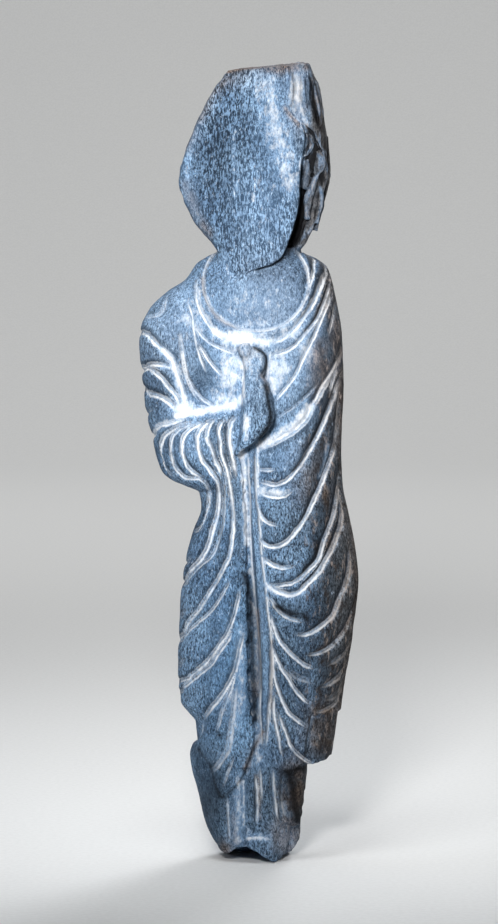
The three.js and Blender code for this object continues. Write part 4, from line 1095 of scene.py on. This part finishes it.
def drawn_lines(p, where):
    """What cut_folds gives for the lines of the robe, with the under robe's pleats and the neckline added."""
    x, y, z = p.T
    shown_x, shown_z = seen(x, y, z)
    _, (pale, across, lower, shade), _ = trunk_relief(x, y, z)
    fade = where["robe"] * below(y, 24, 22)
    # The lines are fainter at the far side and on the near leg.
    faint = np.maximum(0.4 * above(x, 48, 14), 0.15 * below(x, -8, 10) * below(z, 250, 12))
    robe = pale * fade * (1 - faint), across, lower, shade * fade
    _, *pleats = cut_folds(np.where(y < 0, shown_x, OFF_MAP), shown_z, PLEATS)
    low = (z < 72) & (pleats[0] > 0) & (y < -8)
    inside = inside_opening(shown_x, shown_z) / NECKLINE_HALF
    on_ring = (y < 12) & (np.abs(inside) < np.abs(across))
    ring = np.where(on_ring, where["robe"] * smooth(LINE_EDGE - np.abs(inside)), 0)
    neckline = 0.7 * ring, inside, -0.6, 0.4 * ring
    lines = [np.where(low, new, old) for new, old in zip(pleats, robe)]
    return [np.where(ring > 0, new, old) for new, old in zip(neckline, lines)]


def strongest(*values):
    return np.maximum.reduce(values)


def stain_and_paint_light(obj):
    """Writes on each vertex what the stone's colours are made from, painted shade and highlights among them.
    """
    mesh = obj.data
    p, n = points_and_normals(mesh)
    x, y, z = p.T
    where = regions(p, n)
    pale, across, lower, shade = drawn_lines(p, where)
    edges = read(mesh.edges, "vertices", 2, np.int64).T
    hollow = np.sum((spread(p, edges, 24) - p) * n, axis=1)
    hollow = spread(hollow[:, None], edges, 1)[:, 0]
    front = below(n[:, 1], 0.3, 0.4)
    # Dust lies in the open hollows, but not round the head and the hand, and less on the far side.
    near_hand = above(z, 258, 6) * below(z, 344, 6) * bump(x, 4, 17, 4) * (y < -20)
    dust = above(hollow, 0.15, 0.5) * (1 - above(z, 372, 6) * (1 - where["face"])) * (1 - 0.8 * near_hand)
    dust *= (0.5 + 0.5 * front) * (1 - 0.75 * above(x, 40, 16))
    # Painted shade in the deep hollows of the lower robe and of the head
    deep = above(hollow, 1, 1.2) * np.maximum(below(z, 196, 16), above(z, 372, 8))
    # Painted edges wander a little.
    shown_x, shown_z = seen(x, y, z)
    spot = shown_x + rough(p, "stray x"), shown_z + rough(p, "stray z")
    # The ear, darkened as painted shade, with painted shade in the gaps between the hair strands and a
    # painted highlight on their ridges
    ear = where["hair"] * above(np.maximum(x - 38, 480 - z), 0, 4)
    between = where["hair"] * (0.4 + 0.58 * ear) * above(hollow + 0.28 * ear, 0.1, 0.36)
    ridge_highlight = above(-hollow, 0.65, 0.35) * ear * below(z, 484, 6)
    # Painted shade on the far side, on the surfaces that face away from the light
    far_side_shade = 0.95 * above(n[:, 0], 0.12, 0.5) * above(x, 25, 10) * below(z, 404, 6)
    crown = above(n[:, 2], 0.5, 0.3) * above(z, 508, 3)
    rust = strongest(painted(*spot, RUST_PATCHES, RUST_STROKES) * front, 0.95 * crown, 0.24 * ear)
    warm = strongest(above(x, 40, 26) * front, ear, rust)
    muted, bluer = (painted(x, z, patches) for patches in (MUTED_PATCHES, BLUE_PATCHES))
    clear = strongest(0.28 * where["face"], 0.28 * where["hand"], 0.09 * below(z, 270, 40))
    dust_and_painted_light = painted(*spot, PALE_PATCHES, PALE_STROKES) * front
    # Painted shadow and shade from the strokes above
    painted_shadow = painted(shown_x, shown_z, [], PAINTED_SHADOW_STROKES) * front * (1 - where["face"])
    values = {
        "line": across,
        "line_lower": lower,
        "line_pale": pale,
        "line_shade": shade,
        "pale": np.maximum(dust_and_painted_light, 0.5 * dust * (1 - deep) + 0.4 * ridge_highlight),
        "rust": rust,
        "dark": strongest(painted(*spot, DARK_PATCHES, DARK_STROKES) * front, 0.95 * ear, far_side_shade),
        "deep": strongest(painted_shadow, deep, between),
        "warm": warm,
        "muted": np.maximum(warm, muted) - bluer,
        "rugged": above(x, 30, 18) * above(z, 60, 12) * below(z, 404, 8) * below(y, 18, 22),
        "crisp": 0.72 + clear - painted(*spot, CALM_PATCHES),
    }
    for name, value in values.items():
        mesh.attributes.new(name, "FLOAT", "POINT").data.foreach_set("value", value.astype(np.float32))


def thin_out(obj):
    """Takes out triangles: most behind, where the stone is plain, and fewest by the folds and at the ear."""
    triangles = sum(len(f.vertices) - 2 for f in obj.data.polygons)
    if triangles <= MOST_TRIANGLES:
        return
    p, n = points_and_normals(obj.data)
    x, y, z = p.T
    across = trunk_relief(x, y, z)[1][1]
    fine = (z < 398) & (np.abs(across) < LINE_EDGE) & (y < 20) | (regions(p, n)["hair"] > 0.5)
    level = np.where(fine, 0, np.where(n[:, 1] < BEHIND, 1, 2))
    group = obj.vertex_groups.new(name="thin")
    for k, weight in enumerate(THINNING):
        group.add(np.flatnonzero(level == k).tolist(), weight, "REPLACE")
    thin = obj.modifiers.new("thin", "DECIMATE")
    thin.vertex_group = "thin"
    thin.vertex_group_factor = THINNING_FACTOR
    thin.ratio = MOST_TRIANGLES / triangles
    apply_modifiers(obj)
    obj.vertex_groups.clear()


def build_figure():
    stone = Stone()
    for build in (build_trunk, build_stump, build_head, build_hand):
        build(stone)
    obj = mesh_object("figure_stone", np.concatenate(stone.points), stone.faces)
    remesh = obj.modifiers.new("join", "REMESH")
    remesh.mode = "VOXEL"
    remesh.voxel_size = VOXEL * MM * 1
    apply_modifiers(obj)
    weather(obj)
    thin_out(obj)
    obj.data.polygons.foreach_set("use_smooth", [True] * len(obj.data.polygons))
    stain_and_paint_light(obj)
    return obj


class Nodes:
    """Short ways to write a material's nodes."""

    def __init__(self, name):
        self.material = bpy.data.materials.new(name)
        self.material.use_nodes = True
        self.tree = self.material.node_tree
        self.shader = self.tree.nodes["Principled BSDF"]

    def add(self, kind, inputs, **settings):
        node = self.tree.nodes.new(kind)
        for key, value in settings.items():
            setattr(node, key, value)
        for key, value in inputs.items():
            if isinstance(value, bpy.types.NodeSocket):
                self.tree.links.new(value, node.inputs[key])
            else:
                node.inputs[key].default_value = value
        return node

    def link(self, value, name):
        self.tree.links.new(value, self.shader.inputs[name])

    def grain(self, name):
        scale, detail, roughness, shift, tilt = GRAINS[name]
        where = self.add("ShaderNodeTexCoord", {}).outputs["Object"]
        turned = {"Vector": where, "Scale": scale, "Location": (shift,) * 3, "Rotation": (0, tilt, 0)}
        moved = self.add("ShaderNodeMapping", turned).outputs[0]
        settings = {"Vector": moved, "Scale": 1.0, "Detail": detail, "Roughness": roughness}
        return self.add("ShaderNodeTexNoise", settings).outputs["Fac"]

    def scaled(self, value, low, high, to_low=0.0, to_high=1.0, kind="LINEAR"):
        limits = {"Value": value, "From Min": low, "From Max": high, "To Min": to_low, "To Max": to_high}
        return self.add("ShaderNodeMapRange", limits, interpolation_type=kind).outputs[0]

    def ramp(self, value, low, high, to_low=0.0, to_high=1.0):
        return self.scaled(value, low, high, to_low, to_high, "SMOOTHSTEP")

    def math(self, kind, a, b, c=0.0, clamp=True):
        return self.add("ShaderNodeMath", {0: a, 1: b, 2: c}, operation=kind, use_clamp=clamp).outputs[0]

    def times(self, a, b, clamp=True):
        return self.math("MULTIPLY", a, b, clamp=clamp)

    def mix(self, share, a, b):
        """Blends two colours, or two numbers as greys."""
        ends = [(c, c, c) if isinstance(c, float) else c for c in (a, b)]
        a, b = ((*c, 1) if isinstance(c, tuple) else c for c in ends)
        return self.add("ShaderNodeMix", {0: share, 6: a, 7: b}, data_type="RGBA").outputs[2]

    def line(self, across, lower, place, core, edge):
        """1 within core of a place that lies so far down the slope, falling to 0 at the edge."""
        centre = self.times(lower, place, clamp=False)
        off = self.math("ABSOLUTE", self.math("SUBTRACT", across, centre, clamp=False), 0.0, clamp=False)
        return self.ramp(off, edge, core)

    def attribute(self, name):
        return self.add("ShaderNodeAttribute", {}, attribute_name=name).outputs["Fac"]


def flecked_stone(s, crisp, flecks):
    """The blue stone in the light, with its flecks, streaks, pits and sparks."""
    clouds = s.ramp(s.grain("clouds"), 0.36, 0.64)
    base = s.mix(flecks, FLECK, s.mix(clouds, *STONE))
    # The broken face and hand have upright streaks.
    streaks = s.times(s.ramp(s.grain("streaks"), 0.46, 0.62), s.ramp(crisp, 0.72, 1, 0, 0.24))
    base = s.mix(streaks, base, STREAK)
    base = s.mix(s.times(s.ramp(s.grain("pits"), 0.54, 0.68), 0.65), base, PIT)
    return s.mix(s.times(s.ramp(s.grain("sparks"), 0.6, 0.72), 0.7), base, SPARK)


def schist():
    s = Nodes("schist")
    crisp, dark, warm, rugged = (s.attribute(name) for name in ("crisp", "dark", "warm", "rugged"))
    both = s.math("MULTIPLY_ADD", s.grain("fine"), 0.6, s.times(s.grain("coarse"), 0.4))
    both = s.mix(s.scaled(crisp, 0.75, 1, 0, 0.5), both, s.grain("blades"))
    flecks = s.scaled(both, s.scaled(crisp, 0, 1, 0.26, 0.468), s.scaled(crisp, 0, 1, 0.78, 0.56))
    base = flecked_stone(s, crisp, flecks)
    # Darker stone, with painted shade on the far side, down the far edge and over the ear
    base = s.mix(s.times(dark, 0.9), base, s.mix(flecks, *DARK_STONE_AND_SHADE))
    duller = s.scaled(s.attribute("muted"), -1, 1, 1.7, 0.3)
    base = s.add("ShaderNodeHueSaturation", {"Saturation": duller, "Color": base}).outputs[0]
    stained = s.times(s.attribute("rust"), s.ramp(s.grain("stains"), 0.3, 0.55))
    base = s.mix(stained, base, s.mix(flecks, RUST_FLECK, s.mix(dark, *RUST)))
    # The far side of the robe is rubbed and stained.
    blotches, scuffs = s.ramp(s.grain("blotches"), 0.47, 0.62), s.ramp(s.grain("scuffs"), 0.55, 0.66)
    base = s.mix(s.times(s.times(blotches, rugged), 0.75), base, BLOTCH)
    base = s.mix(s.times(s.times(scuffs, rugged), 0.6), base, SCUFF)

    # Each fold has a bright lower lip, a fainter upper lip and a paler bed, all rough, with painted shade
    # above. The bright lower lip is pale dust with a painted highlight, on the wall that faces the light.
    grain, sway = s.grain("grain"), s.grain("sway")
    uneven = s.math("MULTIPLY_ADD", grain, 0.9, -0.45, clamp=False)
    uneven = s.math("ADD", uneven, s.math("MULTIPLY_ADD", sway, 1.2, -0.6, clamp=False), clamp=False)
    across = s.math("ADD", s.attribute("line"), uneven, clamp=False)
    lower = s.attribute("line_lower")
    line = s.line(across, lower, 0.55, 0.2, 0.72)
    line = s.math("MAXIMUM", line, s.times(s.line(across, lower, -0.9, 0.1, 0.5), 0.5))
    line = s.math("MAXIMUM", line, s.times(s.line(across, lower, 0.0, 0.7, 1.5), 0.3))
    wear = s.ramp(s.grain("wear"), 0.3, 0.6, 0.35, 1.0)
    line = s.times(line, s.times(s.attribute("line_pale"), wear))
    # Painted shade on the upper wall above each fold
    over = s.line(across, lower, -2.0, 0.4, 1.5)
    base = s.mix(s.times(over, s.times(s.attribute("line_shade"), 0.62)), base, SHADE_ABOVE_LINE)

    # Pale dust, with painted highlights on the hair and on the hand's left wall: a haze, and where it is
    # thicker, white specks
    dust = s.attribute("pale")
    base = s.mix(s.times(dust, 0.75), base, s.mix(flecks, *HAZE))
    specks = s.math("MULTIPLY_ADD", s.math("ADD", grain, sway, clamp=False), 1.5, -2.2, clamp=False)
    pale = s.math("MAXIMUM", line, s.math("MULTIPLY_ADD", dust, 1.7, specks))
    colour = s.mix(pale, base, s.mix(warm, s.mix(grain, *WHITE), WARM_WHITE))
    # Painted shadow and shade in the hollows, cracks and gaps, and round the hand and chin, over all else
    colour = s.mix(s.times(s.attribute("deep"), 0.96), colour, PAINTED_SHADOW_BLACK)
    s.link(colour, "Base Color")
    s.link(s.mix(pale, s.mix(flecks, 0.75, 0.68), 0.9), "Roughness")
    bumps = s.mix(0.5, s.mix(flecks, 0.0, 1.0), s.mix(grain, 0.0, 1.0))
    bump_node = s.add("ShaderNodeBump", {"Height": bumps, "Strength": 0.6, "Distance": 0.0006})
    s.link(bump_node.outputs[0], "Normal")
    s.shader.inputs["Specular IOR Level"].default_value = 0.12
    return s.material


def studio_paper():
    s = Nodes("studio_paper")
    s.link(s.mix(s.ramp(s.grain("paper"), 0.3, 0.7), *PAPER), "Base Color")
    s.shader.inputs["Roughness"].default_value = 0.95
    return s.material


def look_at(obj, target):
    obj.rotation_euler = (Vector(target) - obj.location).to_track_quat("-Z", "Y").to_euler()


def studio():
    # A pale floor that curves up all round, so no edge of it shows from any side
    reach, bend = FLOOR_RADIUS, CURVE_RADIUS
    curve = [(reach + bend * math.sin(a), bend * (1 - math.cos(a))) for a in np.linspace(0, 1.35, 16)]
    section = [(0.001, 0), (reach / 2, 0), *curve]
    around = 64
    turns = np.linspace(0, 2 * math.pi, around, endpoint=False)
    points = [(r * math.cos(t), r * math.sin(t), z) for r, z in section for t in turns]
    faces = [list(range(around))[::-1]]
    for k in range(0, (len(section) - 1) * around, around):
        for i in range(around):
            j = (i + 1) % around
            faces.append([k + i, k + j, k + around + j, k + around + i])
    floor = mesh_object("studio_floor", np.array(points) / MM, faces)
    floor.data.polygons.foreach_set("use_smooth", [True] * len(faces))
    floor.data.materials.append(studio_paper())
    world = bpy.data.worlds.new("studio")
    world.use_nodes = True
    sky = world.node_tree.nodes["Background"].inputs
    sky["Color"].default_value = SKY
    sky["Strength"].default_value = SKY_STRENGTH
    bpy.context.scene.world = world
    for name, (place, target, size, power, angle, colour) in LIGHTS.items():
        data = bpy.data.lights.new(name, "AREA")
        data.size, data.energy, data.color, data.spread = size, power, colour, math.radians(angle)
        light = bpy.data.objects.new(name, data)
        light.location = place
        light.visible_camera = False
        bpy.context.scene.collection.objects.link(light)
        look_at(light, target)


def camera():
    data = bpy.data.cameras.new("camera")
    cam = bpy.data.objects.new("camera", data)
    bpy.context.scene.collection.objects.link(cam)
    up = math.radians(CAMERA_ELEVATION)
    centre = Vector((0, 0, VIEW_CENTRE * MM))
    cam.location = centre + Vector((0, -math.cos(up), math.sin(up))) * CAMERA_DISTANCE * MM
    look_at(cam, centre)
    data.sensor_fit = "VERTICAL"
    data.sensor_height = 24
    data.lens = data.sensor_height * CAMERA_DISTANCE / VIEW_HEIGHT
    data.clip_start = 0.05
    bpy.context.scene.camera = cam


figure = build_figure()
figure.data.materials.clear()
figure.data.materials.append(schist())
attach(figure, "root")
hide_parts("standing_figure")
studio()
camera()
bpy.context.scene.view_settings.view_transform = "Standard"
